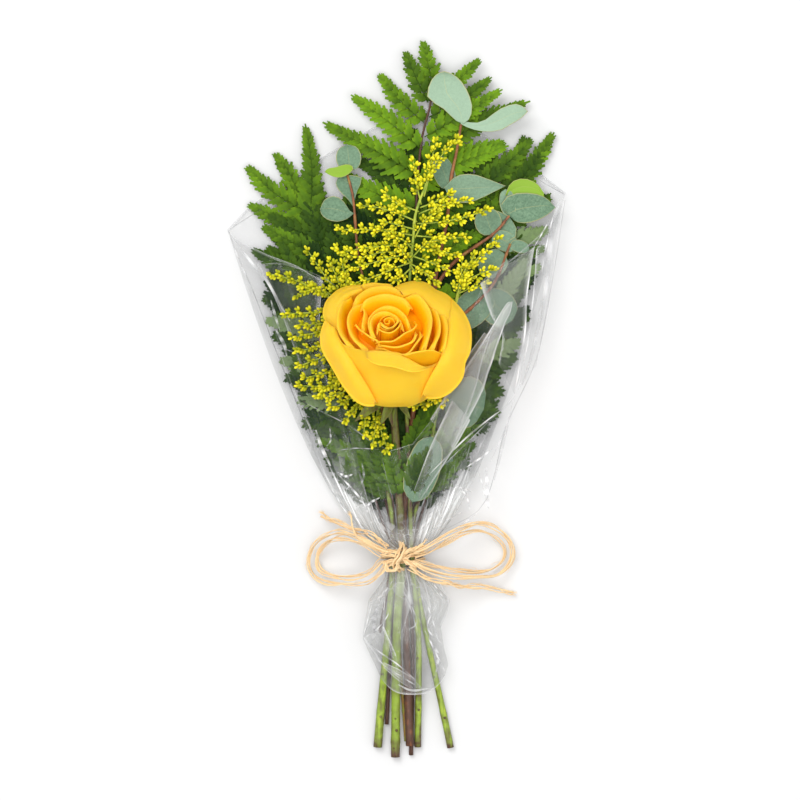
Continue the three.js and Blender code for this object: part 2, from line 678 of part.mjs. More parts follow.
// ---------------------------------------------------------------- raffia
// The band is wound three times round the neck, and the knot sits on its top.
function raffiaBand() {
  const inner = CLEARANCE;
  const profile = [
    [inner, -4.2], [inner + 1.2, -4.6], [inner + BAND_THICKNESS, -3], [inner + 1.3, -1.5],
    [inner + BAND_THICKNESS, 0], [inner + 1.3, 1.5], [inner + BAND_THICKNESS, 3], [inner + 1.2, 4.6],
    [inner, 4.2], [inner, -4.2],
  ];
  const steps = 18;
  const points = [];
  const faces = [];
  const ring = profile.length - 1;
  for (let i = 0; i < steps; i++) {
    const angle = (2 * Math.PI * i) / steps;
    for (const [out, along] of profile.slice(0, ring)) {
      points.push(new THREE.Vector3(
        TIE_CENTRE.x + (NECK_HALF_WIDTH + 0.12 + out) * Math.cos(angle),
        (TIE_TOP_Y + TIE_BOTTOM_Y) / 2 + along,
        TIE_CENTRE.z + (NECK_HALF_HEIGHT + 0.12 + out) * Math.sin(angle),
      ));
    }
  }
  for (let i = 0; i < steps; i++) {
    for (let j = 0; j < ring; j++) {
      const a = i * ring + j;
      const b = i * ring + ((j + 1) % ring);
      const c = ((i + 1) % steps) * ring + j;
      const d = ((i + 1) % steps) * ring + ((j + 1) % ring);
      faces.push([a, b, d], [a, d, c]);
    }
  }
  const knot = new THREE.IcosahedronGeometry(1, 1);
  knot.scale(8, 5.8, 3.4);
  knot.translate(-1, -85.8, 26.2);
  return fuse([geometryOf(points, faces), knot]);
}

// Free strands of the bow, from the knot out and back. Their outer ends sink towards the surface.
const RAFFIA = {
  raffia_loop_left: [
    [-8.2, -83, 26.8], [-19.3, -76.7, 25], [-31.6, -72.3, 19], [-40.3, -74, 13.5], [-46.5, -79.2, 9],
    [-50, -88, 6.5], [-48.2, -95.2, 6.5], [-42.1, -99.6, 8.5], [-31.6, -101.2, 13], [-19.3, -100.4, 20],
    [-11.4, -95, 25], [-7.6, -90, 26.6],
  ],
  raffia_loop_left_inner: [
    [-9.6, -85, 26.2], [-19.5, -79.6, 23.4], [-30, -75.8, 17], [-38, -77, 11.4], [-43.6, -82, 7.2],
    [-46, -88.4, 5], [-44, -94, 5.2], [-38, -96.8, 7.6], [-28, -97.6, 13], [-18, -95, 20.5],
    [-9.6, -87.6, 25.4],
  ],
  raffia_loop_right: [
    [7, -83.4, 26.8], [14, -81, 27], [22.8, -75.8, 25.4], [34.2, -69.7, 21.6], [44.7, -67.9, 15.8],
    [53.5, -71.4, 10.6], [60.5, -78.4, 7], [62.2, -85.5, 5.6], [59.6, -91.6, 5.8], [53.4, -96.8, 7.6],
    [42.9, -97.7, 12], [27.2, -96.8, 19.8], [14, -93.3, 25.6], [6.2, -89.2, 26.6],
  ],
  raffia_loop_right_inner: [
    [8, -85.6, 25.6], [15.4, -83.4, 25], [24, -78.8, 22.4], [34, -73.4, 17.4], [43.6, -71.6, 11.6],
    [51, -74.6, 7.4], [56.4, -80, 4.6], [57.6, -85.6, 3.4], [55, -90.2, 3.6], [49, -93.4, 5.6],
    [40, -94, 9.6], [27, -93.4, 17], [15, -90.6, 22.8], [8, -87.8, 24.8],
  ],
  raffia_tail_left: [
    [-6.4, -80.2, 26.4], [-16, -74, 23.8], [-25, -71, 18.6], [-34.2, -67.6, 13], [-43, -62.5, 8],
  ],
  raffia_tail_right: [
    [5, -91.4, 26.4], [14, -97, 24.4], [27, -101, 18.4], [40.4, -102.5, 10.6], [53.5, -104.6, 5],
    [62.2, -106.5, 3],
  ],
};

function raffiaStrand(route) {
  const curve = new THREE.CatmullRomCurve3(route.map(vector));
  const section = new THREE.Shape();
  const radius = RAFFIA_DIAMETER / 2;
  for (let i = 0; i < RAFFIA_SIDES; i++) {
    const angle = (2 * Math.PI * i) / RAFFIA_SIDES;
    const x = radius * Math.cos(angle);
    const y = radius * Math.sin(angle);
    if (i === 0) section.moveTo(x, y);
    else section.lineTo(x, y);
  }
  section.closePath();
  const steps = Math.round(curve.getLength() / (3 * RAFFIA_DIAMETER));
  return new THREE.ExtrudeGeometry(section, { steps, bevelEnabled: false, extrudePath: curve });
}

// ---------------------------------------------------------------- the bouquet
const bouquet = new THREE.Group();
bouquet.add(piece("rose_bloom", roseBloom(), YELLOW_ROSE, 0.55));
bouquet.add(piece("rose_stem", roseStem(), GREEN_STEM, 0.6));
for (const [name, frond] of Object.entries(FRONDS)) {
  bouquet.add(piece(name, fernFrond(frond), GREEN_FERN, 0.5));
}
for (const [name, sprig] of Object.entries(EUCALYPTUS)) {
  bouquet.add(piece(name, eucalyptusSprig(sprig), GREEN_EUCALYPTUS, 0.7));
}
Object.entries(GOLDENROD).forEach(([name, spray], i) => {
  bouquet.add(piece(name, goldenrodSpray(spray, 11 + i), YELLOW_GOLDENROD, 0.7));
});
bouquet.add(piece("film_sleeve", filmSleeve(), FILM_COLOUR, 0.1, { transparent: true, opacity: 0.35 }));
bouquet.add(piece("raffia_band", raffiaBand(), STRAW_RAFFIA, 0.8));
for (const [name, route] of Object.entries(RAFFIA)) {
  bouquet.add(piece(name, raffiaStrand(route), STRAW_RAFFIA, 0.8));
}

export default bouquet;
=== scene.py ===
"""A small rose bouquet in clear film with a raffia bow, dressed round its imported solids.

Points are in millimetres in the frame of the solids and become metres when a mesh is made.
The bouquet lies face up on the surface: +X to the right, +Y towards the flower, +Z up.
"""

import json
import math
import random

import bpy
import numpy as np
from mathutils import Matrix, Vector

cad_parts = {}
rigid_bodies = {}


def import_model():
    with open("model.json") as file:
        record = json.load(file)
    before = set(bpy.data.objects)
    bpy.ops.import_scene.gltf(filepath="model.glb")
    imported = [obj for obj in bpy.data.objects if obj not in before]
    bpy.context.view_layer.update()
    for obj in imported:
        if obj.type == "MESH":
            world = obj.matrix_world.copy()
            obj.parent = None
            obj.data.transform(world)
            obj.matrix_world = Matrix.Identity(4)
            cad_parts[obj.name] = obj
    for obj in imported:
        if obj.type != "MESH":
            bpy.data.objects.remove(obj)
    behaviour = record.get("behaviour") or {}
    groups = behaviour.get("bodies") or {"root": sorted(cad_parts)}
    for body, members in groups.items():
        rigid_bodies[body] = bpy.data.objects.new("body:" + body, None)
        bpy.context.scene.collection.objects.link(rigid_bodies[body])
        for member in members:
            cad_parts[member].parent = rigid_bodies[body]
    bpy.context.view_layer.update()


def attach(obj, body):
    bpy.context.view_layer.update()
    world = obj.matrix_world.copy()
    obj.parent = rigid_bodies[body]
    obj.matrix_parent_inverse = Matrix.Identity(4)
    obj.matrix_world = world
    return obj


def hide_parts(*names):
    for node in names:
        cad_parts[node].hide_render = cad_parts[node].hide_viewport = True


bl_info = {
    "name": "Tied rose bouquet",
    "version": (1, 0, 0),
    "blender": (4, 5, 0),
    "location": "3D View > Sidebar > Bouquet",
    "description": "Builds a tied rose bouquet in clear film, piece by piece",
    "category": "Add Mesh",
}

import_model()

MM = 0.001

# ---------------------------------------------------------------- the rose's plan
BLOOM_BASE = Vector((-4, 8, 21))
BLOOM_AXIS = Vector((-0.046, 0.643, 0.766))
BLOOM_FRONT = Vector((0, -0.766, 0.643))

# Each petal: curves from its throat to its edge, as (x, y, height along the bloom's axis), then how
# far its belly swells, how far its rim flares, how wide the rim rolls and how open its face is, which lifts
# the painted shade of the bloom's depths off it.
PETALS = {
    "back": ([[(-22.7, 60.3, 40), (-21, 62, 40), (-17, 63, 40), (-11.4, 63, 40), (-5.8, 62.3, 40),
        (-1.9, 61.2, 40)]], 12, 4, 2, 0.5),
    "back_right": ([[(2, 56.7, 44), (7.1, 58.1, 44), (11, 56.7, 44), (15.5, 51.9, 44), (19.4, 48, 44),
        (23.1, 45.2, 43), (25.1, 41.8, 42)], [(-0.8, 59.8, 42), (5.4, 62.3, 42), (11, 62, 42),
        (16.1, 59.2, 42), (21.1, 55.3, 42), (25.6, 50.8, 42), (29.5, 44.6, 41)], [(-3.3, 61.3, 38),
        (1.5, 63.6, 37), (7.1, 64.9, 37), (11, 64.8, 37), (15.5, 63.3, 37), (19.4, 59.8, 37),
        (23.9, 58.4, 37), (27.9, 55, 37), (33.5, 49, 36)]], 12, 0.5, 0.8, 0.9),
    "back_left": ([[(-31.5, 36.5, 38), (-32.5, 42.4, 41), (-33, 46.3, 42), (-32.3, 50.2, 43),
        (-30.4, 54.7, 43), (-26.6, 58.1, 43), (-20.4, 60.3, 43)], [(-34.6, 36.5, 36.5), (-36.7, 42.9, 39),
        (-37.8, 47.4, 40), (-36.7, 51.9, 41), (-33.9, 55.8, 41), (-28.8, 59.2, 41), (-21, 60.9, 41)],
        [(-37.5, 37, 31), (-40, 43.2, 34.5), (-41.7, 47.1, 35), (-40.9, 50.8, 36), (-39.8, 54.2, 36),
        (-36.7, 57.5, 37), (-32.8, 60.6, 37), (-26.6, 62.4, 38), (-20.4, 62.6, 38)]], 12, 0.5, 0.8, 0.9),
    "outer_left": ([[(-34.2, 38.2, 41), (-33, 34, 42), (-29.9, 28.9, 42), (-27.1, 23.3, 39.5),
        (-22.7, 16, 34), (-18.2, 8.7, 27.5), (-14.2, 1.4, 20), (-12.7, -1.4, 16)], [(-37.8, 40.7, 41),
        (-38.3, 35.1, 42), (-37, 29.5, 41.5), (-33.6, 23.3, 39.5), (-28.8, 15.4, 34.5), (-24.1, 7.6, 28),
        (-19, 0.8, 20), (-13.6, -1.9, 15.5)], [(-40.3, 43.4, 37), (-41.8, 39.6, 37), (-42.7, 35.1, 36.5),
        (-42.6, 30.6, 35.5), (-41.7, 27.2, 34), (-40, 23.9, 32.5), (-36.7, 18.8, 30), (-33.9, 13.8, 27),
        (-30.5, 8.1, 24), (-27.1, 3.7, 21), (-22.7, -1.0, 17), (-18.2, -2.6, 15), (-15.6, -2.9, 14.5),
        (-13.4, -2.5, 15)]], 16, 0.3, 0.8, 0.9),
    "outer_right": ([[(24.5, 44.1, 41), (25.2, 39.6, 42), (24.8, 35.1, 42.5), (23.8, 29.5, 42.5),
        (22.5, 23.9, 41.5), (20.3, 19.4, 38), (16.6, 13.2, 32.5), (13.3, 6.5, 25), (12.2, 2.4, 20)],
        [(27.9, 50.2, 41), (30.4, 43.5, 43), (30.7, 36.2, 43.5), (29.5, 29.5, 43.5), (27.3, 22.7, 41.5),
        (23.4, 15.4, 35.5), (18.3, 7.6, 26.5), (13.3, 1.4, 18)], [(27.9, 55, 38), (32.9, 49.7, 38),
        (35.7, 45.2, 37.5), (38, 39, 37), (38.1, 32.3, 36.5), (37.1, 25, 35.5), (34, 20.4, 34),
        (34.6, 16.8, 31), (33.5, 12.1, 27), (29.5, 7, 22.5), (24.5, 2.8, 18), (19.4, 1.2, 16), (15.8, 1, 16),
        (13.4, 2, 18)]], 16, 0.3, 0.8, 0.9),
    "front": ([[(-34.6, 38, 41), (-33, 32.8, 43), (-29.4, 28.8, 45), (-25.7, 28.1, 46), (-20.4, 27, 47),
        (-15.9, 26.8, 47.5), (-11.4, 27.3, 48), (-5.8, 26.5, 48), (-0.8, 25.1, 47.5), (2.6, 23.7, 46),
        (7.7, 20.9, 42), (13.3, 17.3, 37.5), (17.2, 18.4, 36.5), (22.6, 21.2, 36.5)], [(-34.4, 37.3, 39),
        (-32.6, 32, 40), (-28.7, 27.5, 40), (-24.3, 26.7, 43.5), (-20.1, 25.3, 43.5), (-17, 21.5, 41.5),
        (-13.7, 19.4, 41), (-8.6, 18.6, 40.8), (-3.6, 18.4, 40.5), (0.9, 16.6, 39.5), (5.4, 15.2, 37.5),
        (9.9, 15.3, 36), (13.5, 16.8, 36), (17.2, 18, 36), (22.6, 20.8, 36.2)]], 19, 0, 0.3, 0.96),
    "folded": ([[(-7, 27.6, 43.5), (-0.8, 25.8, 45.5), (2.6, 24.4, 46.5), (6.5, 25.8, 47), (11, 26.7, 47),
        (16.1, 27, 46.5), (20.3, 26.6, 45.5), (23.4, 26.4, 43.5)]], 12, 0.5, 0.7, 0.85),
    "right_third": ([[(20.6, 49.1, 44), (23.9, 45.2, 44.5), (25.2, 40.1, 45), (24.9, 35.1, 45),
        (24.2, 30.6, 45), (22.9, 26.9, 45)]], 7, 3.4, 0.8, 0),
    "left_second": ([[(-27.1, 57.8, 44), (-31.1, 53.6, 44), (-32.9, 49.1, 44.5), (-33.4, 43.5, 45),
        (-33, 39, 45), (-31.1, 34.5, 45.5), (-28.3, 31.1, 46), (-25.6, 28.2, 46)]], 7, 4.5, 1, 0),
    "back_second": ([[(-25.7, 51.9, 45), (-22.7, 56.4, 45), (-18.7, 59.2, 45), (-13.7, 61.2, 45),
        (-8.1, 61.6, 45), (-2.4, 60.3, 45), (2.6, 58.4, 45)]], 7, 6, 1.2, 0),
    "right_second": ([[(16.1, 51.9, 45.5), (18.9, 49.1, 46), (20.7, 44.6, 46.5), (21.3, 40.1, 46.5),
        (20.8, 35.6, 46.5), (19.2, 31.7, 46.5), (16.6, 27.1, 46)]], 6, 3.2, 0.8, 0),
    "left_third": ([[(-19.8, 54.7, 46), (-24.3, 51.1, 46), (-27, 46.9, 46.5), (-28, 42.9, 47),
        (-27.3, 38.4, 47), (-25.7, 34.5, 47), (-23.5, 31.7, 47), (-21, 30, 47), (-17.9, 27.1, 46.5)]],
        6, 5, 0.9, 0),
    "right_inner": ([[(1.5, 56.7, 47), (5.4, 58.1, 47), (9.1, 57.4, 47.5), (12.7, 53.6, 48), (15.5, 49.1, 48),
        (16.6, 44.1, 48), (16.1, 39, 48), (14.7, 34, 48), (13.3, 30, 47.5), (12.1, 27.2, 47)]], 6, 5.5, 1, 0),
    "back_inner": ([[(-21.2, 50.2, 48), (-20.1, 52.5, 48), (-16.5, 55, 48), (-12, 56.7, 48), (-7.5, 57.1, 48),
        (-3, 56.5, 48), (2, 54.7, 48), (6.5, 51.4, 48)]], 6, 7, 1, 0),
    "left_inner": ([[(-20.4, 38, 48), (-19.7, 42.9, 48.5), (-19.1, 46.6, 48.5), (-19.6, 49.4, 48.5),
        (-20.7, 51.1, 48)]], 5, 3.5, 0.7, 0),
    "front_left_inner": ([[(-24.8, 42.7, 47.5), (-23.7, 40.8, 48), (-22.5, 39.2, 48), (-20.4, 37.5, 48),
        (-16.9, 35, 48.5), (-14.1, 33.4, 48.5), (-12, 32.2, 48), (-10.4, 29.6, 47)]], 7, 2, 0.7, 0.5),
    "front_third": ([[(-13.4, 30.4, 46), (-10.6, 29, 46), (-6.3, 26.9, 46), (-2.1, 25.5, 46), (1.7, 24.6, 46),
        (4.2, 25.4, 46.5), (6.6, 28.3, 47), (8.4, 30.8, 47), (10.5, 33.3, 47), (11.7, 36.1, 47),
        (11.4, 38.5, 47)]], 9, 1.2, 0.7, 0.6),
    "front_second": ([[(-12, 32.2, 48), (-10.6, 30.8, 48), (-8.4, 29.5, 48), (-4.9, 29, 48), (-1.4, 29, 48),
        (2.1, 29.7, 48), (4.9, 30.8, 48.5), (7.3, 32.6, 49), (8.4, 35.4, 49), (8.7, 38.5, 49)]],
        8, 1.2, 0.7, 0.6),
    "front_inner": ([[(-13.4, 33.6, 49), (-11.3, 32.3, 49.5), (-8.4, 31.9, 49.5), (-4.9, 32, 49.5),
        (-2.8, 32.6, 49.5), (0, 34.3, 50), (2.1, 36.1, 50), (4.2, 37.4, 50), (6.6, 38.2, 50), (8.3, 39.9, 50),
        (8.8, 42.4, 50), (8, 44, 50)]], 7, 1.2, 0.6, 0.55),
    "ring_third": ([[(-14.8, 34.7, 50), (-16.2, 38.5, 50), (-16.9, 41.7, 50.5), (-16.2, 44.8, 50.5),
        (-13.4, 48, 50.5), (-9.1, 50.3, 50.5), (-4.9, 50.8, 50.5), (-1.4, 49.4, 50.5), (1.4, 46.9, 50.5),
        (3.5, 43.8, 50.5), (5.1, 40.3, 50), (6.3, 38.3, 50)]], 4, 2.2, 0.7, 0.2),
    "ring_second": ([[(-13.9, 34.3, 50.5), (-15.5, 36.8, 51), (-15.8, 39.9, 51.5), (-15.5, 43.1, 51.5),
        (-13.4, 46.2, 51.5), (-10.2, 47.8, 51.5), (-7, 47.5, 51.5), (-4.2, 46.4, 51.5), (-1.4, 44.5, 51.5),
        (0.7, 41.7, 51), (1.7, 38.9, 51)]], 3, 1.6, 0.6, 0.2),
    "heart_front": ([[(-12.6, 41.5, 51.4), (-11.8, 39, 51.6), (-9.4, 37.2, 51.8), (-6.2, 36.6, 52),
        (-3.2, 37.4, 52), (-1, 39.4, 52), (0.2, 42, 51.8), (0, 44.6, 51.4)]], 3, 1, 0.5, 0.5),
    "heart_cup": ([[(-10.4, 42.6, 52.4), (-9.8, 40.6, 52.6), (-7.6, 39.2, 52.8), (-5, 39.2, 52.8),
        (-3, 40.6, 52.8), (-2.2, 42.8, 52.6)]], 2, 0.8, 0.5, 0.5),
    "ring_inner": ([[(-12.3, 37.8, 52), (-12, 39.9, 52.5), (-10.6, 42.4, 53), (-8.8, 40.4, 53),
        (-5.3, 39.2, 53), (-2.8, 40.6, 53), (-1.2, 42.9, 53), (-2.1, 45, 53), (-4.2, 46.3, 52.5)]],
        2, 1, 0.6, 0.3),
}
PETAL_COLUMNS = 17
PETAL_DEPTHS = (46.5, 43, 38, 32, 26, 20, 15, 11, 7.5, 4.5, 2.4, 1)
PETAL_DEPTH_SCALE = 48
# Over this depth below a petal's rim its paint runs down to the deep orange: partly the petal's own deeper
# colour at its foot, partly painted shade in the bloom's depths.
PETAL_SHADE_DEPTH = 12
PETAL_THROAT_SPREAD = 0.55
SINGLE_RIM_DROOP = 4
# The rolled lip past the rim: how far out and how far down, as shares of the lip's width.
RIM_ROLL = ((0.45, 0.12), (0.9, -0.2), (1.05, -0.8))
HEART_TURNS = 2.1
HEART_STEPS = 56
HEART_TOP = 53.2
HEART_DEPTHS = (16, 8, 4, 2, 0.8, 0)
# The paint of those rows, deepest first: painted shade, darkest deep in the heart.
HEART_SHADES = (0.0, 0.25, 0.45, 0.65, 0.9, 1.0)
# The imported petals under the open ones, painted in the deep orange of painted shade: half width, half depth
# and height, from the middle out.
HEART_BED = (
    (0.2, 0.2, 46.5), (6, 5, 45.5), (12, 10, 42), (18, 15, 38.5), (25, 20, 36), (30, 25, 35), (32, 28, 32.5),
    (29, 25, 22), (18, 14, 9), (7, 6, 3), (1, 1, 1),
)
HEART_BED_SIDES = 24
HEART_BED_BACK = 9
# Each sepal's route and half width.
SEPALS = [
    ([(-7, 3, 17), (-17, -5, 21), (-25, -12, 23)], 3.4),
    ([(-5, 1, 17), (-7, -6, 20), (-11, -14, 20.5)], 2.6),
    ([(0, 3, 17), (6, -1, 20), (13, -3, 21.5)], 2.6),
    ([(-4, 0, 16), (-5, -7, 18), (-4, -15, 18.5)], 2.2),
    ([(-1, 0, 16), (3, -6, 17.5), (6, -11, 18)], 1.9),
]
SEPAL_STEPS = 8
SEPAL_THICKNESS = 0.0004
# The stem's route up to the hip, its radii, and its scars as shares of the way.
ROSE_STEM_FOOT = [(-2.6, -196.8, 2.7), (-1.7, -128, 13.4), (1, -86, 18.2), (-0.6, -50, 16.6), (-1.6, -30, 14)]
ROSE_STEM_RADII = (2.5, 2.2)
ROSE_STEM_SCARS = (0.044, 0.19, 0.44)
HIP_DROP = 9
# The hip under the petals: height along the bloom's axis and radius.
HIP_PROFILE = [(-10, 1.6), (-9, 2.6), (-7, 4.2), (-4.5, 5.2), (-2, 5.0), (-0.2, 4.4)]
HIP_SIDES = 16
SCAR_STEPS = 120
ROSE_SEED = 5

# ---------------------------------------------------------------- the ferns' plan
LOW_LAYER = 2.9
HIGH_LAYER = 5.5
# Each frond: the level it lies at, its stalk, the stalk's radii, and its leaflets as root, tip,
# half width and whether the leaflet shows its pale underside.
FRONDS = {
    "fern_frond_centre": (HIGH_LAYER, [(-2.4, -138, 3.3), (0.2, -86, 7.6), (1, -50, 5.7), (3, 0, 5.1),
        (7, 70, 5.1), (11, 136, 5.1), (16.5, 162, 5.1), (18.5, 176, 5.1)], (1.1, 0.6), [((18, 172),
        (12.7, 197.5), 6.2, 0), ((15.5, 164), (3, 192), 6.4, 0), ((13.2, 153), (-11.6, 180), 6.8, 0),
        ((11, 139), (-27, 168), 8, 0), ((10.2, 124), (-42.6, 153), 9, 0), ((17, 166), (44.3, 187.6), 6.2, 0),
        ((16, 156), (50.6, 178), 6.6, 0), ((13.5, 145), (56.4, 171), 7.2, 0), ((11, 130), (71.8, 164.7),
        9, 0), ((9.5, 118), (60, 140), 9, 0), ((9, 106), (-34, 126), 9, 0), ((8.4, 96), (50, 116), 9, 0),
        ((7.6, 84), (-30, 100), 8.5, 0), ((7, 72), (46, 92), 8.5, 0), ((6.4, 60), (-26, 76), 8, 0), ((6, 48),
        (40, 66), 8, 0), ((26, 129), (58, 142), 6.5, 0)]),
    "fern_frond_left": (LOW_LAYER, [(-7.3, -179, 1.4), (-3.6, -86, 8.8), (-9, -50, 4.6), (-20, 0, 2.8),
        (-32, 50, 2.6), (-43, 85, 2.5), (-55, 108, 2.5)], (1.1, 0.6), [((-53, 104), (-69.3, 136.4), 7, 0),
        ((-52, 104), (-84.8, 129), 8, 0), ((-46, 92), (-84, 108), 7.5, 0), ((-50, 100), (-52.3, 152.4),
        7.5, 0), ((-45, 92), (-46, 123), 7, 0), ((-40, 78), (-76, 96), 8, 0), ((-38, 70), (-22, 112), 8, 0),
        ((-37, 66), (-74, 84), 8, 0), ((-33, 54), (-12, 92), 8, 0), ((-34, 58), (-70, 70), 8, 1), ((-30, 44),
        (-68, 52), 8, 1), ((-27, 30), (-60, 36), 8, 1)]),
    "fern_frond_right": (LOW_LAYER, [(6.1, -196, 1.6), (6.9, -131, 4.6), (3.6, -86, 7.9), (10, -50, 4.6),
        (22, 0, 2.8), (36, 50, 2.6), (48, 90, 2.5), (58, 113, 2.5)], (1.25, 0.6), [((56, 110), (85, 147.6),
        8, 0), ((56.5, 106), (83.3, 142), 7, 0), ((57, 108), (69, 146), 7, 0), ((53, 100), (83, 112), 8, 0),
        ((50, 94), (46, 139), 8, 0), ((45, 82), (82, 94), 8, 1), ((41, 68), (26, 108), 8, 0), ((40, 62),
        (78, 74), 7.5, 1), ((44, 76), (80, 84), 7, 0), ((36, 50), (70, 60), 7.5, 0), ((33, 38), (66, 44),
        7.5, 1), ((45, 121), (73, 144), 7, 0), ((42, 116), (49.5, 139), 6.5, 0), ((38, 109), (58, 130),
        7, 0)]),
    "fern_frond_lower_left": (HIGH_LAYER, [(-11, -128, 7), (-5.1, -86, 10.9), (-12, -60, 7.2),
        (-20, -35, 5.4), (-31, -8, 5.1), (-37, 15, 5.1), (-42, 35, 5.1), (-46, 62, 5.1)], (0.9, 0.6),
        [((-46, 62), (-82, 83), 7.5, 0), ((-45, 56), (-66, 87), 7, 0), ((-43, 42), (-76, 56), 8, 0),
        ((-42, 36), (-74, 44), 7, 1), ((-40, 26), (-70, 36), 8, 0), ((-38, 18), (-66, 22), 7, 1), ((-36, 10),
        (-63, 12), 8, 0), ((-33, 0), (-56, 0), 7, 1), ((-31, -8), (-53, -13), 7.5, 0), ((-27, -18),
        (-45, -24), 6.5, 0), ((-24, -25), (-40, -33), 6.5, 0), ((-34, 6), (-12, 30), 8, 0), ((-40, 30),
        (-16, 54), 8, 0), ((-30, -10), (-8, 8), 7, 0)]),
    "fern_frond_lower_right": (HIGH_LAYER, [(10, -122, 4.2), (7, -98, 7.1), (6.2, -86, 7.3), (14, -55, 5.6),
        (25, -24, 5.2), (34, 0, 5.1), (42, 26, 5.1), (48, 48, 5.1)], (0.9, 0.6), [((47, 45), (72, 67),
        7.5, 0), ((47, 46), (70, 78), 7, 1), ((44, 34), (71, 46), 7.5, 0), ((42, 26), (66, 32), 7, 1),
        ((40, 20), (64, 24), 8, 0), ((35, 4), (56.5, 4), 7.5, 0), ((32, -4), (54, -8), 7, 0), ((29, -12),
        (48, -16), 7, 0), ((22, -30), (38, -37), 6, 0), ((40, 22), (22, 44), 8, 0), ((34, 0), (14, 20), 8, 0),
        ((28, -14), (10, 4), 7, 0)]),
}
LOBE_PITCH = 4.6
LEAFLET_FULLNESS = 1.16
LOBE_TEETH = 4
RIB_STEPS = 12
# Leaflets deep in the bunch, painted in shade, as root and tip.
FERN_FILL = {
    "fern_frond_lower_left": [((-44, 20), (-62, 44)), ((-44, 34), (-66, 58)), ((-48, 50), (-70, 72)),
        ((-38, 6), (-58, 26)), ((-46, 44), (-58, 78)), ((-52, 30), (-68, 48))],
    "fern_frond_lower_right": [((42, 22), (60, 48)), ((44, 38), (66, 62)), ((48, 54), (72, 78)), ((38, 6),
        (56, 30)), ((50, 30), (66, 44)), ((46, 60), (60, 86))],
    "fern_frond_centre": [((10, 132), (40, 150)), ((10, 122), (-24, 146)), ((9, 110), (44, 132)), ((9, 112),
        (-28, 134)), ((8, 100), (42, 122)), ((8, 98), (-30, 118)), ((8, 88), (44, 108)), ((7, 86),
        (-30, 108)), ((7, 76), (44, 96)), ((7, 74), (-32, 92)), ((6, 64), (42, 84)), ((6, 62), (-32, 78)),
        ((6, 54), (40, 68)), ((5, 50), (-30, 64)), ((10, 118), (8, 150)), ((9, 94), (14, 130)), ((8, 90),
        (-8, 126)), ((7, 70), (22, 108)), ((7, 66), (-18, 100)), ((6, 58), (6, 96)), ((4, 40), (36, 46)),
        ((4, 36), (-32, 46)), ((4, 24), (34, 26)), ((3, 20), (-32, 24)), ((3, 8), (30, 2)), ((3, 6),
        (-30, 2))],
    "fern_frond_left": [((-50, 98), (-62, 124)), ((-44, 88), (-72, 102)), ((-42, 80), (-26, 116)), ((-40, 74),
        (-70, 90)), ((-38, 68), (-8, 100)), ((-36, 60), (-68, 76)), ((-35, 56), (-20, 92)), ((-33, 50),
        (-66, 62)), ((-31, 44), (-6, 76)), ((-29, 36), (-62, 46)), ((-27, 30), (-4, 58)), ((-25, 20),
        (-56, 26)), ((-22, 10), (-50, 8)), ((-19, -2), (-44, -8)), ((-15, -16), (-36, -26)), ((-44, 84),
        (-52, 116))],
    "fern_frond_right": [((54, 104), (72, 122)), ((50, 94), (76, 104)), ((48, 88), (30, 122)), ((45, 80),
        (74, 90)), ((43, 74), (24, 110)), ((41, 66), (72, 76)), ((38, 58), (18, 92)), ((36, 50), (64, 58)),
        ((34, 42), (12, 74)), ((32, 34), (60, 40)), ((29, 26), (10, 54)), ((27, 16), (56, 18)), ((24, 4),
        (50, 0)), ((20, -8), (44, -14)), ((16, -22), (36, -32))],
}
# Bands filled with leaflets painted dark as shade: their lowest and highest y, left and right x at both, and
# top level.
LEAF_BANDS = {
    "fern_frond_lower_left": [(-52, 0, (-24, -48), (1, 0), 7), (0, 66, (-48, -69), (1, 0), 7)],
    "fern_frond_lower_right": [(-52, -4, (2, 0), (22, 50), 7), (-4, 74, (2, 0), (51, 74), 7)],
    "fern_frond_centre": [(56, 104, (-50, -42), (54, 46), 6)],
}
FILL_PITCH = 9
BAND_LEAFLET_LENGTHS = (20, 28)
BAND_LEAFLET_HALF_WIDTH = 7.5
# Painted shade: how much darker the leaflets in the bands, deep in the bunch and low in the sleeve are
# painted.
BAND_SHADES = (0.7, 0.97)
FILL_LEAFLET_HALF_WIDTH = 8.5
FILL_SHADE = 0.75
NECK_SHADE = 0.55
UNDERSIDE_SHARE = 0.4
# How much darker than the middle frond each one is painted: painted shade, as the side fronds lie under the
# others and the lower ones inside the sleeve.
FROND_SHADE = {"fern_frond_left": 0.36, "fern_frond_right": 0.46, "fern_frond_lower_left": 0.8,
               "fern_frond_lower_right": 0.78}
FERN_SEED = 40
ROOT_LEAN, TIP_LEAN = 50, 22
# Leaflets low in the sleeve, over the stems, painted in shade, as root, tip and height.
NECK_LEAFLETS = {
    "fern_frond_lower_left": [((-5, -52), (-20, -28), 12), ((-5, -54), (-26, -20), 11), ((-3, -48),
        (-12, -14), 13), ((-6, -40), (-30, -4), 11), ((-8, -52), (-31, -34), 9), ((0, -51), (-4, -24), 16),
        ((-4, -34), (-20, 2), 12), ((-12, -38), (-44, -22), 9), ((-10, -48), (-36, -32), 8), ((-4, -50),
        (-13, -27), 18), ((-1, -52), (-6, -26), 19)],
    "fern_frond_lower_right": [((6, -52), (18, -28), 12), ((6, -54), (26, -18), 11), ((4, -48), (10, -12),
        13), ((8, -40), (32, -4), 11), ((9, -52), (32, -34), 9), ((2, -44), (14, -2), 14), ((12, -46),
        (42, -24), 8), ((14, -34), (46, -12), 8), ((3, -30), (22, 2), 13), ((4, -52), (9, -30), 18),
        ((6, -50), (16, -27), 19)],
}

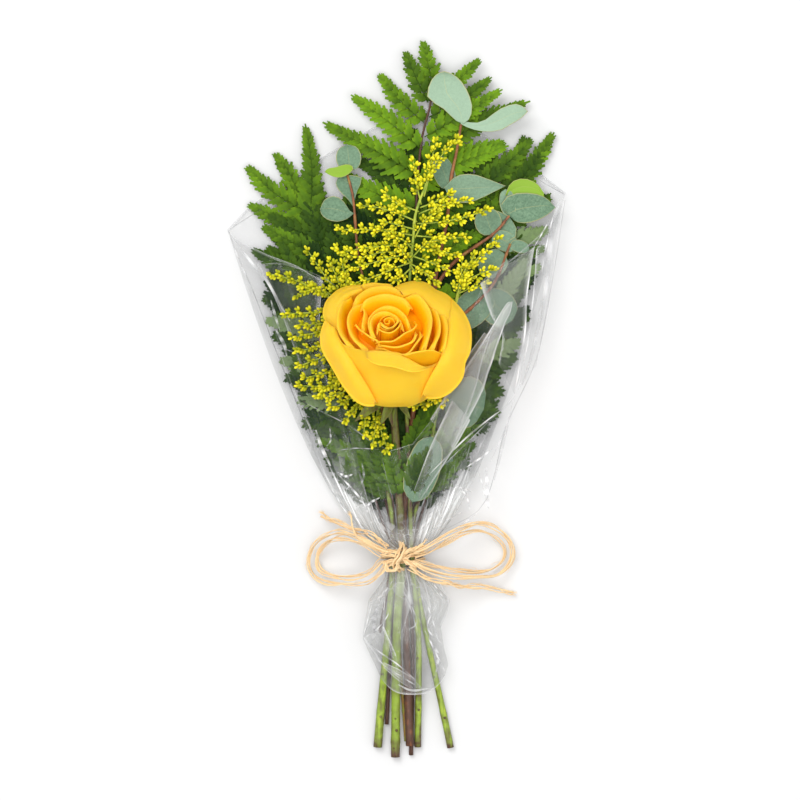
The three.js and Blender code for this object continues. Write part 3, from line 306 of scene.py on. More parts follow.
# ---------------------------------------------------------------- the eucalyptus' plan
# Each sprig: stems as route, radii and how brown they are, and leaves as base, tip, width, tilt
# about the leaf's own rib in degrees, and how lime green the leaf is.
EUCALYPTUS = {
    "eucalyptus_sprig_right": ([([(5.5, -190.6, 6), (3.4, -130, 8.8), (1.6, -86, 12.6), (4, -40, 9.6),
        (8, 0, 8.8), (12, 30, 8.6), (20, 70, 8.8), (26, 100, 9), (28, 121, 9.4), (31.4, 138, 9.8),
        (33.6, 151.8, 10)], (2.3, 0.75)), ([(18, 60, 8.8), (30, 76, 9.2), (51.2, 91.3, 9.8),
        (60.5, 101.8, 10.2)], (1.2, 0.7)), ([(13, 34, 8.6), (26, 40, 9), (50, 62, 9.4), (60.8, 86, 9.6)],
        (1.1, 0.7)), ([(9, 4, 8.8), (16, 8, 9), (26, 2, 9.2)], (1.1, 0.8)), ([(4.5, -34, 9.7), (10, -36, 9.6),
        (15, -42, 9.6)], (1.1, 0.8))], [((27.6, 116, 9.2), (21, 134, 8), 12, 10, 0), ((51, 91, 9.8),
        (46, 105, 8.4), 15, 0, 0), ((60.5, 101, 10.2), (58, 116, 8.5), 9, 10, 0), ((51, 91, 9.8),
        (64, 84, 8.6), 11, 0, 0), ((58, 80, 9.6), (44, 70, 8.6), 15, 0, 0), ((60.8, 86, 9.6), (71, 83, 8.6),
        7, 0, 0), ((30, 41, 9), (50, 60, 9.4), 20, 20, 0), ((26, 2, 9.2), (46, -5, 9.4), 30, 0, 0),
        ((16, 7, 9), (30, 26, 8.4), 16, 0, 0), ((15, -42, 9.6), (12, -24, 9.2), 17, 0, 0), ((14, -41, 9.6),
        (29, -32, 9.2), 12, 0, 0), ((7, -56, 19), (18, -20, 20.5), 19, 0, 0), ((46, 58, 9.2), (62, 44, 8.8),
        20, 0, 0)]),
    "eucalyptus_sprig_left": ([([(3.2, -188.3, 1.3), (-0.7, -130, 6.2), (-1.8, -86, 11.1), (-6, -40, 7.8),
        (-12, 10, 8.2), (-17, 50, 8.8), (-23, 80, 9.2), (-24.5, 96, 9.6), (-25.9, 112, 9.8), (-29, 124, 10)],
        (0.9, 0.7))], [((-27.6, 125.9, 10), (-29, 140.4, 11), 14, 0, 0)]),
}
# Leaves whose outline was followed: sprig, left edge and right edge from base to tip, height, tilt
# of the far end, and how lime green.
TRACED_LEAVES = [
    ("eucalyptus_sprig_left", [(-25.8, 126.9), (-26.7, 129.1), (-30.4, 129.6), (-34.9, 128.2), (-39.5, 127.3),
     (-41.3, 125.5)], [(-25.8, 126.9), (-28.5, 124.1), (-33.1, 122.3), (-37.7, 123.2), (-41.3, 125.5)],
     11.5, 0.5, 1),
    ("eucalyptus_sprig_left", [(-25.4, 102.7), (-27.6, 104.1), (-31.3, 109.5), (-35.8, 112.3), (-41.3, 110.4),
     (-43.9, 105)], [(-25.4, 102.7), (-29.5, 99.5), (-34.9, 98.1), (-40.4, 99.5), (-43.3, 102.4),
     (-43.9, 105)], 10.4, 1, 0),
    ("eucalyptus_sprig_left", [(-25.5, 106), (-28.6, 110.4), (-33.4, 115), (-35.4, 119.5), (-33.4, 123)],
     [(-25.5, 106), (-24, 114), (-20.8, 121.8), (-26, 123.6), (-33.4, 123)], 9.2, 0.4, 0),
    ("eucalyptus_sprig_right", [(34.8, 152), (30.7, 153.8), (23.4, 160.6), (17, 164.3), (14.8, 168),
     (17, 175.2), (20.7, 179.3), (24.4, 180.4)], [(34.8, 152), (38.5, 155.2), (39.7, 161.6), (37.6, 168.8),
     (34, 174.8), (29.4, 178.7), (24.4, 180.4)], 10.5, 6, 0),
    ("eucalyptus_sprig_right", [(34.8, 153.4), (41.7, 152.5), (47.2, 154.3), (54.5, 159.8), (62.7, 162.7),
     (67.7, 161.1), (70.1, 158.4)], [(33.2, 152), (39, 149.3), (46.3, 147.7), (54.5, 148.1), (60.8, 151.4),
     (66.3, 154.7), (70.1, 158.4)], 10, 7, 0),
    ("eucalyptus_sprig_right", [(60.8, 101.4), (56.8, 104.5), (55.8, 107.8), (58.1, 111.4), (63.6, 113.7),
     (72.7, 113.7), (80, 111.4), (85.5, 105.9)], [(60.8, 101.4), (63.6, 98.2), (70, 97.3), (76.3, 99.1),
     (81.8, 102.3), (85.5, 105.9)], 10.5, 2, 0),
    ("eucalyptus_sprig_right", [(58, 112.5), (60, 118), (64, 121.3), (70, 121.6), (76, 118.5), (79, 113.8)],
     [(58, 112.5), (64, 113), (70, 113), (76, 112), (79, 110.5), (79, 113.8)], 9.6, 1, 1),
    ("eucalyptus_sprig_right", [(58.1, 117.8), (47.6, 121.9), (39.9, 124.3), (31.2, 123.3), (24.4, 117)],
     [(58.1, 117.8), (49.9, 113.7), (42.2, 110), (34, 108.2), (27.6, 110.9), (24.4, 117)], 9.6, 2, 0),
    ("eucalyptus_sprig_right", [(60, 101), (53.5, 104.1), (47.2, 104.1), (41.7, 99.1)], [(60, 101), (64, 95),
     (63.6, 89.5), (59.9, 87.2), (52.6, 89.5), (45.4, 94.1), (41.7, 99.1)], 8.9, -1, 0),
]

# ---------------------------------------------------------------- the goldenrod's plan
GOLDENROD = {
    "goldenrod_spray_top": ([(9.8, -191.4, 2.2), (10.2, -131, 9.2), (6.3, -86, 15.4), (5.2, -38, 15),
        (3.4, 0, 12.2), (3.4, 30, 11), (5, 62, 12.5), (7.2, 88, 15), (8.8, 103, 16.5), (14.5, 119, 18)],
        (1.95, 0.7), [[(13.2, 111.7, 17), (17.6, 126.5, 18.5), (24.8, 136.4, 20), (31.9, 143, 20)],
        [(13.2, 111.7, 17), (16, 126.5, 19), (19.8, 141.4, 21)], [(11.6, 107.3, 17), (8.8, 119.9, 19),
        (7.2, 130.9, 20)], [(10.5, 103.4, 16.5), (1.7, 106.7, 18), (-3.3, 108.9, 19), (-8.2, 113.3, 19)],
        [(9.4, 97.9, 16), (-1.1, 102.3, 19), (-12.1, 105.6, 19), (-20.9, 106.7, 19)], [(8.2, 90.2, 15.5),
        (-4.4, 92.4, 18), (-20.9, 93.5, 20), (-33, 93.5, 20)], [(7.7, 85.8, 15), (-4.4, 84.7, 19),
        (-18.7, 83.6, 20), (-29.7, 81.4, 20)], [(7.2, 81.4, 14.6), (-4.4, 78.1, 19), (-18.7, 74.2, 20),
        (-30.8, 70.4, 20)], [(6.6, 75.9, 14.2), (-2.2, 72.6, 18), (-15.4, 67.1, 20), (-26.4, 63.8, 20)],
        [(6.1, 72.6, 14), (0, 67.1, 18), (-6.6, 62.7, 21)], [(11, 105.6, 16.8), (19.8, 108.9, 18),
        (28.1, 113.3, 19)], [(10.5, 102.3, 16.5), (20.9, 106.2, 19), (37.4, 110, 19)], [(9.4, 96.8, 16),
        (24.2, 97.9, 19), (38.5, 101.2, 20), (48.4, 104.5, 20)], [(8.2, 90.2, 15.5), (22, 89.1, 19),
        (36.3, 89.1, 20)], [(7.7, 84.7, 15), (19.8, 82.5, 19), (30.8, 79.2, 20)], [(6.6, 79.2, 14.6),
        (18.7, 74.8, 18), (28.6, 70.4, 20)], [(6.1, 74.8, 14.2), (13.2, 70.4, 19), (19.8, 63.8, 21)],
        [(8.8, 93.5, 16), (0, 95.7, 20), (-8.8, 97.9, 21)], [(8.2, 89.1, 15.5), (13.2, 97.9, 20),
        (19.8, 103.4, 21)], [(7.2, 82.5, 15), (1.1, 88, 21), (-6.6, 90.2, 22)], [(6.6, 78.1, 14.6),
        (14.3, 85.8, 21), (22, 88, 22)], [(6.1, 74.8, 14.2), (2.2, 80.3, 21), (-1.1, 84.7, 22)],
        [(6.1, 73.7, 14), (8.8, 68.2, 20), (7.7, 61.6, 22)], [(6.6, 80.3, 14.8), (-8.8, 81.4, 17),
        (-22, 78.1, 18), (-35.2, 82.5, 19)]]),
    "goldenrod_spray_left": ([(-12.3, -191.4, 2.7), (-3.9, -86, 14.6), (-8, -40, 12.4), (-13, 0, 11.2),
        (-22, 27, 13.2), (-31, 45, 16), (-41, 59, 18.5)], (2.5, 0.7), [[(-33, 56.1, 17), (-45.1, 60.5, 18),
        (-57.2, 65.5, 20), (-70.4, 69, 20)], [(-34.1, 55, 17), (-40.7, 59.4, 18), (-48.4, 60.5, 20),
        (-56.1, 57.2, 20)], [(-30.8, 55, 17), (-41.2, 68.2, 19), (-50.6, 82, 21)], [(-29.7, 56.1, 17),
        (-34.1, 66, 20), (-38.5, 75.9, 21)], [(-28.6, 56.1, 17), (-29.7, 64.9, 20), (-31.9, 74.8, 21)],
        [(-26.4, 51.7, 16), (-42.9, 48.4, 19), (-62.7, 47.3, 20)], [(-26.4, 49.5, 16), (-38.5, 42.9, 19),
        (-55, 40.7, 20)], [(-25.3, 45.1, 15), (-40.7, 38.5, 19), (-58.3, 34.1, 20)], [(-24.2, 40.7, 15),
        (-38.5, 31.9, 19), (-56.1, 26.4, 20)], [(-23.1, 34.1, 14), (-38.5, 25.3, 20), (-55, 18.7, 20)],
        [(-20.9, 26.4, 13), (-36.3, 16.5, 20), (-51.7, 12.1, 21)], [(-19.8, 23.1, 13), (-34.1, 8.8, 20),
        (-55, 7.7, 21)], [(-17.6, 15.4, 12), (-33, 3.3, 20), (-45.1, 2.2, 21)], [(-16.5, 11, 12),
        (-29.7, -1.1, 20), (-37.4, -4.4, 21)], [(-14.3, 4.4, 11.4), (-24.2, -5.5, 20), (-29.7, -11, 24)],
        [(-12.1, -2.2, 11.6), (-13.2, -13.2, 20), (-14.9, -24.2, 26)], [(-12.1, -3.3, 11.6),
        (-10.5, -16.5, 20), (-6.6, -27.5, 25)], [(-13.2, 0, 11.6), (-18.7, -8.8, 20), (-19.8, -18.7, 25)],
        [(-18.7, 20.9, 13), (-33, 13.2, 21), (-42.9, 4.4, 22)]]),
    "goldenrod_spray_right": ([(27.9, -191.8, 2.2), (7, -86, 10.4), (14.5, -40, 12.4), (21, 0, 13.4),
        (25, 30, 13.6), (32, 58, 15)], (1.95, 0.7), [[(31.4, 57.2, 14.9), (36.3, 64.9, 17), (44, 69.3, 19),
        (51.4, 71.5, 19)], [(31.4, 57.2, 14.9), (36.3, 70.4, 17), (46.2, 81.4, 19), (54.5, 88.6, 19)],
        [(30.3, 53.9, 14.7), (33, 63.8, 19), (34.1, 75.9, 21)], [(30.8, 56.1, 14.7), (34.1, 68.2, 20),
        (40.7, 79.2, 20)], [(31.4, 58.3, 14.7), (39.6, 61.6, 19), (47.3, 63.8, 19)], [(22, 7.7, 13.4),
        (22, 2.8, 20), (16.5, -1.7, 25)], [(20.9, 4.4, 13.4), (14.3, -1.7, 20), (6.6, -3.3, 26)],
        [(22, 7.7, 13.4), (24.2, 2.2, 20), (23.1, -2.2, 24)]]),
}
SIDE_TWIG_PITCH = 2.0
BUD_SLIMNESS = 0.28
CLUSTER_LENGTHS = (4.0, 1.8)
BARE_SHARE = 0.18
TWIG_STEPS = 30
# Painted shade on a spray's buds, pulling them towards the bud's dark green foot colour: the left spray's
# buds are painted darker.
SPRAY_SHADE = {"goldenrod_spray_left": 0.42}
USUAL_SHADE = 0.05
GOLDENROD_SEED = 11

# ---------------------------------------------------------------- the film's plan
TIE_TOP_Y = -81
TIE_BOTTOM_Y = -91
TIE_CENTRE = (2, 13)
NECK_HALF_WIDTH = 10
NECK_HALF_HEIGHT = 9.2
SKIRT_BOTTOM_Y = -162
MOUTH_EDGE = [
    (11, 162, 0), (34, 154, 0), (58, 140, 0), (79, 124, 0), (91.3, 114.4, 1), (88, 104, 11.5), (76, 90, 15),
    (61, 77, 16.5), (46, 65, 16), (38, 44, 15), (32, 18, 15.5), (21, -6, 19), (7, -24, 23), (-6, -28, 24),
    (-18, -20, 22), (-31, -2, 16), (-37, 22, 13.5), (-37, 45, 13), (-42, 65, 13), (-57, 74, 13),
    (-73, 80, 12.5), (-90, 88, 9), (-95.2, 94, 1), (-84, 106, 0), (-66, 119, 0), (-40, 136, 0), (-14, 151, 0),
]
SHOULDER_POWER = 0.6
FRONT_DOME = 5
SKIRT_ROWS = [
    (0.1, -8.6, 16, 22.4), (0.28, -17.2, 27.8, 20.5), (0.5, -19.6, 22.3, 18), (0.62, -20.6, 23.4, 17),
    (0.9, -14, 26.4, 14.5), (1, -11.5, 25, 13),
]
SKIRT_CORNER_RISE = 11
FILM_STATIONS = 270
CONE_ROWS = 110
SKIRT_STEPS = 44
SKIRT_MAP = 0.36
FOLD_STANDOFF = 1.0
FOLD_POINTS = 26
FLAP_COLUMNS = 9
SKIRT_PLEATS = 21
CONE_PLEATS = 31
# Size and count of the crumples' facets, coarse to fine.
CRUMPLE_SIZES = (15.0, 8.0, 4.5)
PLAIN_MAP_PLACE = (0.31, 0.52, 0)

# Fold lines seen on the film's front: their course, width, the brightness of the highlight painted along
# them, and how much pale haze they carry.
FOLD_LINES = [
    ([(73.7, 84.2, 21), (71.5, 71.5, 22), (69.3, 55.6, 22.5), (68.2, 34.7, 22), (62.7, 3.3, 20)], 0.7, 1, 0),
    ([(74.8, 82.5, 21), (73.7, 63.3, 22), (71.5, 44, 22), (69.3, 27.5, 21.5), (62.7, 2.2, 20)], 0.6, 0.8, 0),
    ([(73.7, 83.6, 21), (68.2, 80.3, 21), (58.3, 75.9, 21.5), (46.2, 66, 22), (40.7, 62.2, 22)],
     0.5, 0.45, 0),
    ([(61.6, 53.9, 23), (60, 46.8, 23.5), (56.7, 40.2, 24), (52.8, 28.6, 24), (49, 17.1, 24),
     (45.1, 4.4, 24)], 0.6, 0.8, 0),
    ([(58.3, 52.8, 24), (48.4, 36.9, 24.5), (37.4, 19.8, 25), (26.4, 4.4, 25.5), (16.5, -10.5, 26)],
     0.5, 0.5, 0),
    ([(62.7, 2.8, 20), (56.7, -4.4, 21), (50.1, -9.4, 22), (41.2, -16.5, 23.5), (32.5, -24.2, 24.5),
     (16.5, -40.2, 26.5)], 0.7, 0.9, 0),
    ([(61.6, 0, 20), (48.4, -12.1, 22), (34.1, -25.9, 24.5), (17.6, -41.8, 26.5)], 0.4, 0.6, 0),
    ([(51.2, -26.4, 17), (44, -31.9, 20), (36.3, -36.9, 21.5)], 0.8, 1, 0),
    ([(88, 110, 15), (83.6, 96.3, 16), (82, 81.4, 17), (79.8, 60.5, 17), (77, 38.5, 16)], 2.2, 0.75, 0),
    ([(85.8, 107.3, 16), (82.5, 94.6, 17), (79.2, 79.2, 18), (77.6, 68.8, 18)], 0.5, 1, 0),
    ([(82, 99, 18), (77.6, 90.8, 19.5), (73.7, 84.2, 21)], 0.5, 1, 0),
    ([(82, 86.9, 19), (77, 84.2, 20.5), (73.7, 83.6, 21)], 0.4, 0.7, 0),
    ([(77.6, 55, 18), (75.4, 38.5, 18), (71.5, 22, 17), (67.1, 8.2, 17)], 1.6, 0.55, 0),
    ([(62.7, 2.2, 20), (59.4, -11, 19), (55, -22, 18), (49.5, -34.1, 18)], 0.6, 0.7, 0),
    ([(59.4, -13.8, 16), (55, -30.3, 16), (51.7, -44, 17)], 1.4, 0.5, 0),
    ([(47.3, -37.4, 18), (47.9, -49.5, 19), (48.4, -59.4, 19.5)], 1.6, 0.95, 0),
    ([(42.9, -38.5, 19), (46.2, -50.6, 19.6), (47.9, -58.3, 19.8)], 0.5, 0.9, 0),
    ([(31.9, -47.3, 20.5), (36.3, -52.8, 20.5), (38.5, -60.5, 20.6)], 0.7, 0.9, 0),
    ([(30.3, -46.2, 20.6), (34.1, -48.4, 20.6), (39.6, -50.6, 20.4)], 0.5, 0.8, 0),
    ([(22, -11, 26), (18.2, -24.8, 27), (14.3, -38.5, 27.5), (9.9, -55, 27)], 1.4, 0.22, 0),
    ([(30.8, 0, 25.5), (25.3, -13.2, 26.5), (19.8, -28.6, 27)], 0.5, 0.35, 0),
    ([(-93.5, 92.4, 9.6), (-86.9, 82.5, 11), (-79.2, 72.6, 14), (-74.2, 67.1, 15), (-67.1, 55, 16.5),
     (-60.5, 43.5, 17)], 1.3, 0.85, 0),
    ([(-94.6, 92.4, 9.2), (-88, 75.9, 10), (-80.9, 60, 11)], 0.5, 0.8, 0),
    ([(-80.3, 78.1, 13.5), (-77, 74.8, 14.5), (-65.5, 74.8, 15), (-53.4, 71.5, 17), (-42.4, 67.1, 19),
     (-33.6, 61.6, 20)], 0.5, 0.45, 0),
    ([(-75.9, 71.5, 15), (-67.1, 55, 16), (-59.4, 36.3, 16.5), (-55, 26.4, 17)], 0.5, 0.5, 0),
    ([(-71, 55, 14), (-68.2, 45.1, 14.5), (-66, 38.5, 15)], 1.2, 0.7, 0),
    ([(-68.2, 38.5, 14.5), (-63.8, 30.8, 15.5), (-62.2, 24.2, 16)], 1.5, 0.75, 0),
    ([(-68.8, 28.6, 12), (-60.5, 27, 15), (-53.4, 23.1, 17)], 0.4, 0.45, 0),
    ([(-66, 26.4, 12), (-60.5, 11, 13), (-53.4, -6.6, 14), (-44, -27.5, 15)], 0.5, 0.6, 0),
    ([(-53.4, -0.6, 18), (-42.4, -6.6, 21.5), (-27.5, -14.3, 24), (-12.1, -25.9, 26)], 0.5, 0.55, 0),
    ([(-33, -27.5, 23.5), (-24.8, -26.4, 25), (-11.6, -27, 26)], 0.5, 0.65, 0),
    ([(-46.2, -16.5, 15.5), (-42.9, -26.4, 16.5), (-38, -36.3, 18)], 1.6, 0.9, 0),
    ([(-38.5, -15.4, 20), (-38, -22, 20.5), (-40.2, -25.3, 20)], 0.8, 0.7, 0),
    ([(-55, 0, 13.5), (-49, -15.4, 14.5), (-42.9, -28.6, 16)], 0.4, 0.5, 0),
    ([(-34.1, -39.6, 21), (-29.7, -41.8, 22), (-25.9, -40.7, 22.6)], 1, 1, 0),
    ([(-33, -41.8, 21), (-27.5, -47.3, 22.6), (-20.9, -55, 24.4), (-18.7, -59.4, 25)], 0.9, 1, 0),
    ([(-18.7, -59.4, 25), (-16, -56.1, 25.2), (-11, -53.4, 26)], 1, 0.95, 0),
    ([(-24.2, -53.9, 23), (-19.8, -56.7, 24.5), (-17.6, -61.6, 25)], 0.6, 0.9, 0),
    ([(-20.9, -34.1, 25), (-19.8, -41.8, 25), (-22, -47.3, 24.5)], 1, 0.5, 0),
    ([(-37.4, -48.4, 17), (-31.9, -57.8, 18.5), (-26.4, -66, 20)], 0.6, 0.8, 0),
    ([(-33, -55, 19), (-26.4, -61.6, 21), (-18.7, -70.4, 23)], 0.5, 0.7, 0),
    ([(-27.5, -68.2, 20), (-19.8, -70.4, 22.5), (-13.2, -77, 24.5)], 0.6, 0.7, 0),
    ([(-13.8, -57.8, 26), (-8.8, -67.1, 26), (-4.4, -75.9, 26)], 0.5, 0.6, 0),
    ([(-10.5, -27.5, 26.4), (-7.7, -41.2, 26.8), (-3.9, -55, 26.8), (-1.1, -71.5, 26)], 0.4, 0.35, 0),
    ([(22, -55, 24), (16.5, -63.3, 24.5), (9.9, -73.7, 25)], 0.6, 0.7, 0),
    ([(34.1, -61.6, 20.5), (25.3, -66, 22), (16.5, -72.6, 24)], 0.6, 0.7, 0),
    ([(42.9, -61.6, 18.5), (34.1, -68.2, 19.5), (25.3, -73.7, 20.5)], 0.6, 0.8, 0),
    ([(16.5, -44, 26.4), (13.2, -55, 26.4), (7.7, -68.2, 26)], 0.6, 0.5, 0),
    ([(-94.6, 93.5, 9), (-88, 76.5, 9.6), (-80.9, 60, 9), (-68.8, 28.6, 8), (-55, -6.6, 8), (-40.7, -42.9, 9),
     (-30.3, -60, 11), (-16.5, -72.6, 14)], 0.45, 0, 0.8),
    ([(90.8, 110, 10), (85.8, 77, 10), (79.8, 44, 10), (73.7, 18.7, 9), (58.3, -14.9, 9), (51.2, -44, 9),
     (43.5, -60.5, 11), (22, -72.6, 14)], 0.45, 0, 0.8),
    ([(-93.5, 94.1, 9.2), (-82.5, 101.2, 8), (-75.9, 105.1, 7)], 0.4, 0, 0.7),
    ([(90.2, 113.3, 10), (82.5, 117.7, 7), (77, 121, 6)], 0.4, 0, 0.7),
    ([(-20.4, -129.8, 10.5), (-13.2, -115.5, 14), (-8.8, -104.5, 19)], 0.7, 0.9, 0),
    ([(-18.7, -132, 11), (-11, -138.6, 15), (-1.1, -145.2, 18.5), (8.8, -154, 17)], 0.6, 0.9, 0),
    ([(-15.4, -116.6, 13), (-13.8, -126.5, 15), (-16.5, -134.8, 12)], 1.4, 0.7, 0),
    ([(13.2, -107.8, 18.5), (17.6, -119.9, 17), (20.9, -132, 14)], 0.6, 0.9, 0),
    ([(16.5, -132, 16), (20.9, -140.2, 14), (19.8, -149.6, 12.5)], 1.3, 0.75, 0),
    ([(1.1, -103.4, 20.5), (5.5, -113.3, 20.5), (11, -132, 18.5)], 0.4, 0.7, 0),
    ([(-1.1, -156.2, 16.5), (6.6, -159.5, 15.5), (16.5, -158.4, 14)], 1, 0.2, 0.5),
    ([(-15.4, -112, 19.5), (-20.3, -130.4, 16)], 0.5, 0.5, 0.3),
    ([(-20.3, -130.8, 16), (-9.5, -145, 16), (7.6, -158.5, 15.5)], 0.5, 0.7, 0),
    ([(-9.5, -145.5, 16), (13.6, -159.8, 15)], 0.5, 0.8, 0),
    ([(13.6, -126.4, 18.5), (24.8, -149.5, 15)], 0.6, 0.9, 0),
    ([(19.5, -113, 19.5), (15.1, -124.9, 18.6), (23, -133.8, 16.5)], 0.6, 0.85, 0),
    ([(1.7, -104.1, 21.5), (9.1, -121.9, 19.5), (-1.3, -127.8, 19.5)], 0.5, 0.7, 0),
    ([(-10.2, -113.5, 19), (-6.5, -117.4, 19.5), (-13.2, -126.4, 17.5), (-19.4, -130.4, 16)], 0.5, 0.9, 0),
    ([(-12, -113, 19), (-14.5, -121, 18), (-14, -128, 17.4)], 2.2, 0.55, 0),
    ([(16, -97, 21), (22, -106, 20.4), (27, -110.7, 18.5)], 0.5, 0.8, 0),
    ([(-4, -99, 22), (-9, -106, 20.5), (-16, -112, 18.5)], 0.5, 0.8, 0),
    ([(5, -98, 22.5), (12, -108, 20.5), (15, -124, 18.6)], 0.5, 0.6, 0),
]
# Loose flaps of the film's front: left edge, right edge, and how much pale haze of painted reflection they
# carry.
FILM_FLAPS = [
    ([(61.6, 53.9, 22.5), (58.3, 52.8, 23), (48.4, 36.9, 24), (37.4, 19.8, 24.6), (26.4, 4.4, 25.2),
     (16.5, -10.5, 25.8)], [(61.6, 53.4, 22.5), (60, 46.8, 23), (56.7, 40.2, 23.4), (49, 17.1, 23.5),
     (44, 2.2, 24), (28.6, -26.4, 24.5)], 0.5),
    ([(46.2, 36.9, 23.8), (38.5, 26.4, 24.2), (30.8, 15.4, 24.8), (22, 4.4, 25.4)], [(49.5, 35.2, 23.8),
     (45.1, 22, 24.2), (40.7, 4.4, 24.6), (30.8, -22, 25)], 0.25),
    ([(28.6, 0, 25.2), (22, -13.8, 26), (15.4, -28.6, 26.5), (7.7, -49.5, 26.5)], [(38.5, -11, 24.5),
     (30.8, -24.8, 25.2), (22, -38.5, 26), (11, -55, 26)], 0.3),
    ([(74.8, 82.5, 19), (73.2, 60.5, 20), (71, 38.5, 20), (64.9, 5.5, 19)], [(90.2, 110, 14.5),
     (85.8, 82.5, 15), (81.4, 49.5, 15.5), (74.8, 18.7, 16)], 0.16),
    ([(-79, 76, 14), (-67.1, 52, 16), (-58, 28, 16.5), (-50, 8, 17)], [(-42.4, 67, 18.6), (-44, 45, 18),
     (-43, 25, 18.5), (-38, 4, 20)], 0.03),
    ([(44, 64, 21.8), (50, 46, 23), (56, 36, 23.6), (54, 20, 23.4)], [(73.7, 84, 20.8), (70, 60, 21.8),
     (68.2, 34.7, 21.6), (62.7, 3.3, 20)], 0.16),
    ([(-16.5, -111, 19), (-20.3, -130, 16)], [(-8, -108, 20.5), (-9, -124, 18.8)], 0.12),
    ([(-20.3, -130.8, 16), (-9.5, -145, 16)], [(-9, -124, 18.8), (-2, -140, 18)], 0.2),
    ([(13, -100, 21), (16, -112, 19.8), (15, -125, 18.6)], [(20, -98, 20.4), (27, -110.7, 18.4),
     (22.4, -125, 17)], 0.12),
    ([(-9, -144, 16.5), (3, -150, 16.6), (13.6, -159.5, 15)], [(-9, -147, 16), (-1, -154, 16.2),
     (9, -160.5, 15)], 0.3),
]

# ---------------------------------------------------------------- the raffia's plan
RAFFIA = {
    "raffia_loop_left": [(-8.2, -83, 26.8), (-19.3, -76.7, 25), (-31.6, -72.3, 19), (-40.3, -74, 13.5),
        (-46.5, -79.2, 9), (-50, -88, 6.5), (-48.2, -95.2, 6.5), (-42.1, -99.6, 8.5), (-31.6, -101.2, 13),
        (-19.3, -100.4, 20), (-11.4, -95, 25), (-7.6, -90, 26.6)],
    "raffia_loop_left_inner": [(-9.6, -85, 26.2), (-19.5, -79.6, 23.4), (-30, -75.8, 17), (-38, -77, 11.4),
        (-43.6, -82, 7.2), (-46, -88.4, 5), (-44, -94, 5.2), (-38, -96.8, 7.6), (-28, -97.6, 13),
        (-18, -95, 20.5), (-9.6, -87.6, 25.4)],
    "raffia_loop_right": [(7, -83.4, 26.8), (14, -81, 27), (22.8, -75.8, 25.4), (34.2, -69.7, 21.6),
        (44.7, -67.9, 15.8), (53.5, -71.4, 10.6), (60.5, -78.4, 7), (62.2, -85.5, 5.6), (59.6, -91.6, 5.8),
        (53.4, -96.8, 7.6), (42.9, -97.7, 12), (27.2, -96.8, 19.8), (14, -93.3, 25.6), (6.2, -89.2, 26.6)],
    "raffia_loop_right_inner": [(8, -85.6, 25.6), (15.4, -83.4, 25), (24, -78.8, 22.4), (34, -73.4, 17.4),
        (43.6, -71.6, 11.6), (51, -74.6, 7.4), (56.4, -80, 4.6), (57.6, -85.6, 3.4), (55, -90.2, 3.6),
        (49, -93.4, 5.6), (40, -94, 9.6), (27, -93.4, 17), (15, -90.6, 22.8), (8, -87.8, 24.8)],
    "raffia_tail_left": [(-6.4, -80.2, 26.4), (-16, -74, 23.8), (-25, -71, 18.6), (-34.2, -67.6, 13),
        (-43, -62.5, 8)],
    "raffia_tail_right": [(5, -91.4, 26.4), (14, -97, 24.4), (27, -101, 18.4), (40.4, -102.5, 10.6),
        (53.5, -104.6, 5), (62.2, -106.5, 3)],
}
# The crossings of the knot, lowest first.
KNOT = [
    [(-0.5, -77.8, 21.5), (0.4, -80.2, 26.5), (-1.6, -84.5, 30.2), (-3.4, -89, 29.6), (-2.2, -92.6, 25.5),
     (0.5, -93.6, 21.5)],
    [(1.8, -78.2, 21.5), (2.6, -80.8, 26.8), (0.8, -84.8, 30.4), (-1.2, -89, 30), (0, -92.4, 26),
     (2.2, -93.6, 21.5)],
    [(-10.5, -82.2, 25.6), (-6, -82.4, 27.4), (-1, -84.4, 28.6), (4.5, -88.2, 28), (9.5, -91, 26)],
    [(-10, -84.4, 25.4), (-5.5, -84.8, 27.2), (0, -86.4, 28.4), (5, -90, 27.4), (9, -92.6, 25.4)],
    [(-9.5, -89.4, 25.4), (-5, -87.8, 27.2), (0.5, -85, 28.6), (5.5, -82.6, 28), (10, -81.6, 26.4)],
    [(-9, -91.2, 25), (-4.5, -90, 26.8), (1, -87.4, 28.2), (6, -84.6, 27.6), (10.5, -83.6, 26)],
    [(-7.4, -88.6, 27), (-7.8, -92, 27), (-4.6, -93.6, 27.4), (-1.4, -91.4, 29), (-2.6, -87.6, 30)],
    [(2, -84, 29.4), (5.6, -82, 29.4), (9.4, -80.6, 28.4), (12.6, -79.4, 27)],
]
LOOSE_ENDS = [
    [(-7, -83.4, 27.6), (-16, -79.6, 27), (-23.4, -74.8, 24.8), (-25.6, -70, 22.6), (-27.6, -62.7, 20.5)],
    [(2, -84, 29.4), (6, -81.8, 29), (10, -80.2, 28), (13.4, -77.6, 27)],
]
NECK_TURNS = 3
TURN_PITCH = 2.6
TURN_STEPS = 24
STRAND_SPACING = 0.9
KNOT_SEED = 91
BOW_SEED = 120


# ---------------------------------------------------------------- shaping helpers
def smooth_curve(points, count):
    """That many evenly spaced points on a smooth curve through the given ones."""
    knots = [Vector(p) for p in points]
    ends = [knots[0] * 2 - knots[1], *knots, knots[-1] * 2 - knots[-2]]
    dense = []
    for i in range(1, len(ends) - 2):
        a, b, c, d = ends[i - 1:i + 3]
        for k in range(10):
            t = k / 10
            dense.append(0.5 * ((2 * b) + (c - a) * t + (2 * a - 5 * b + 4 * c - d) * t * t
                                + (3 * b - a - 3 * c + d) * t ** 3))
    dense.append(knots[-1].copy())
    return spaced(dense, [k / (count - 1) for k in range(count)])


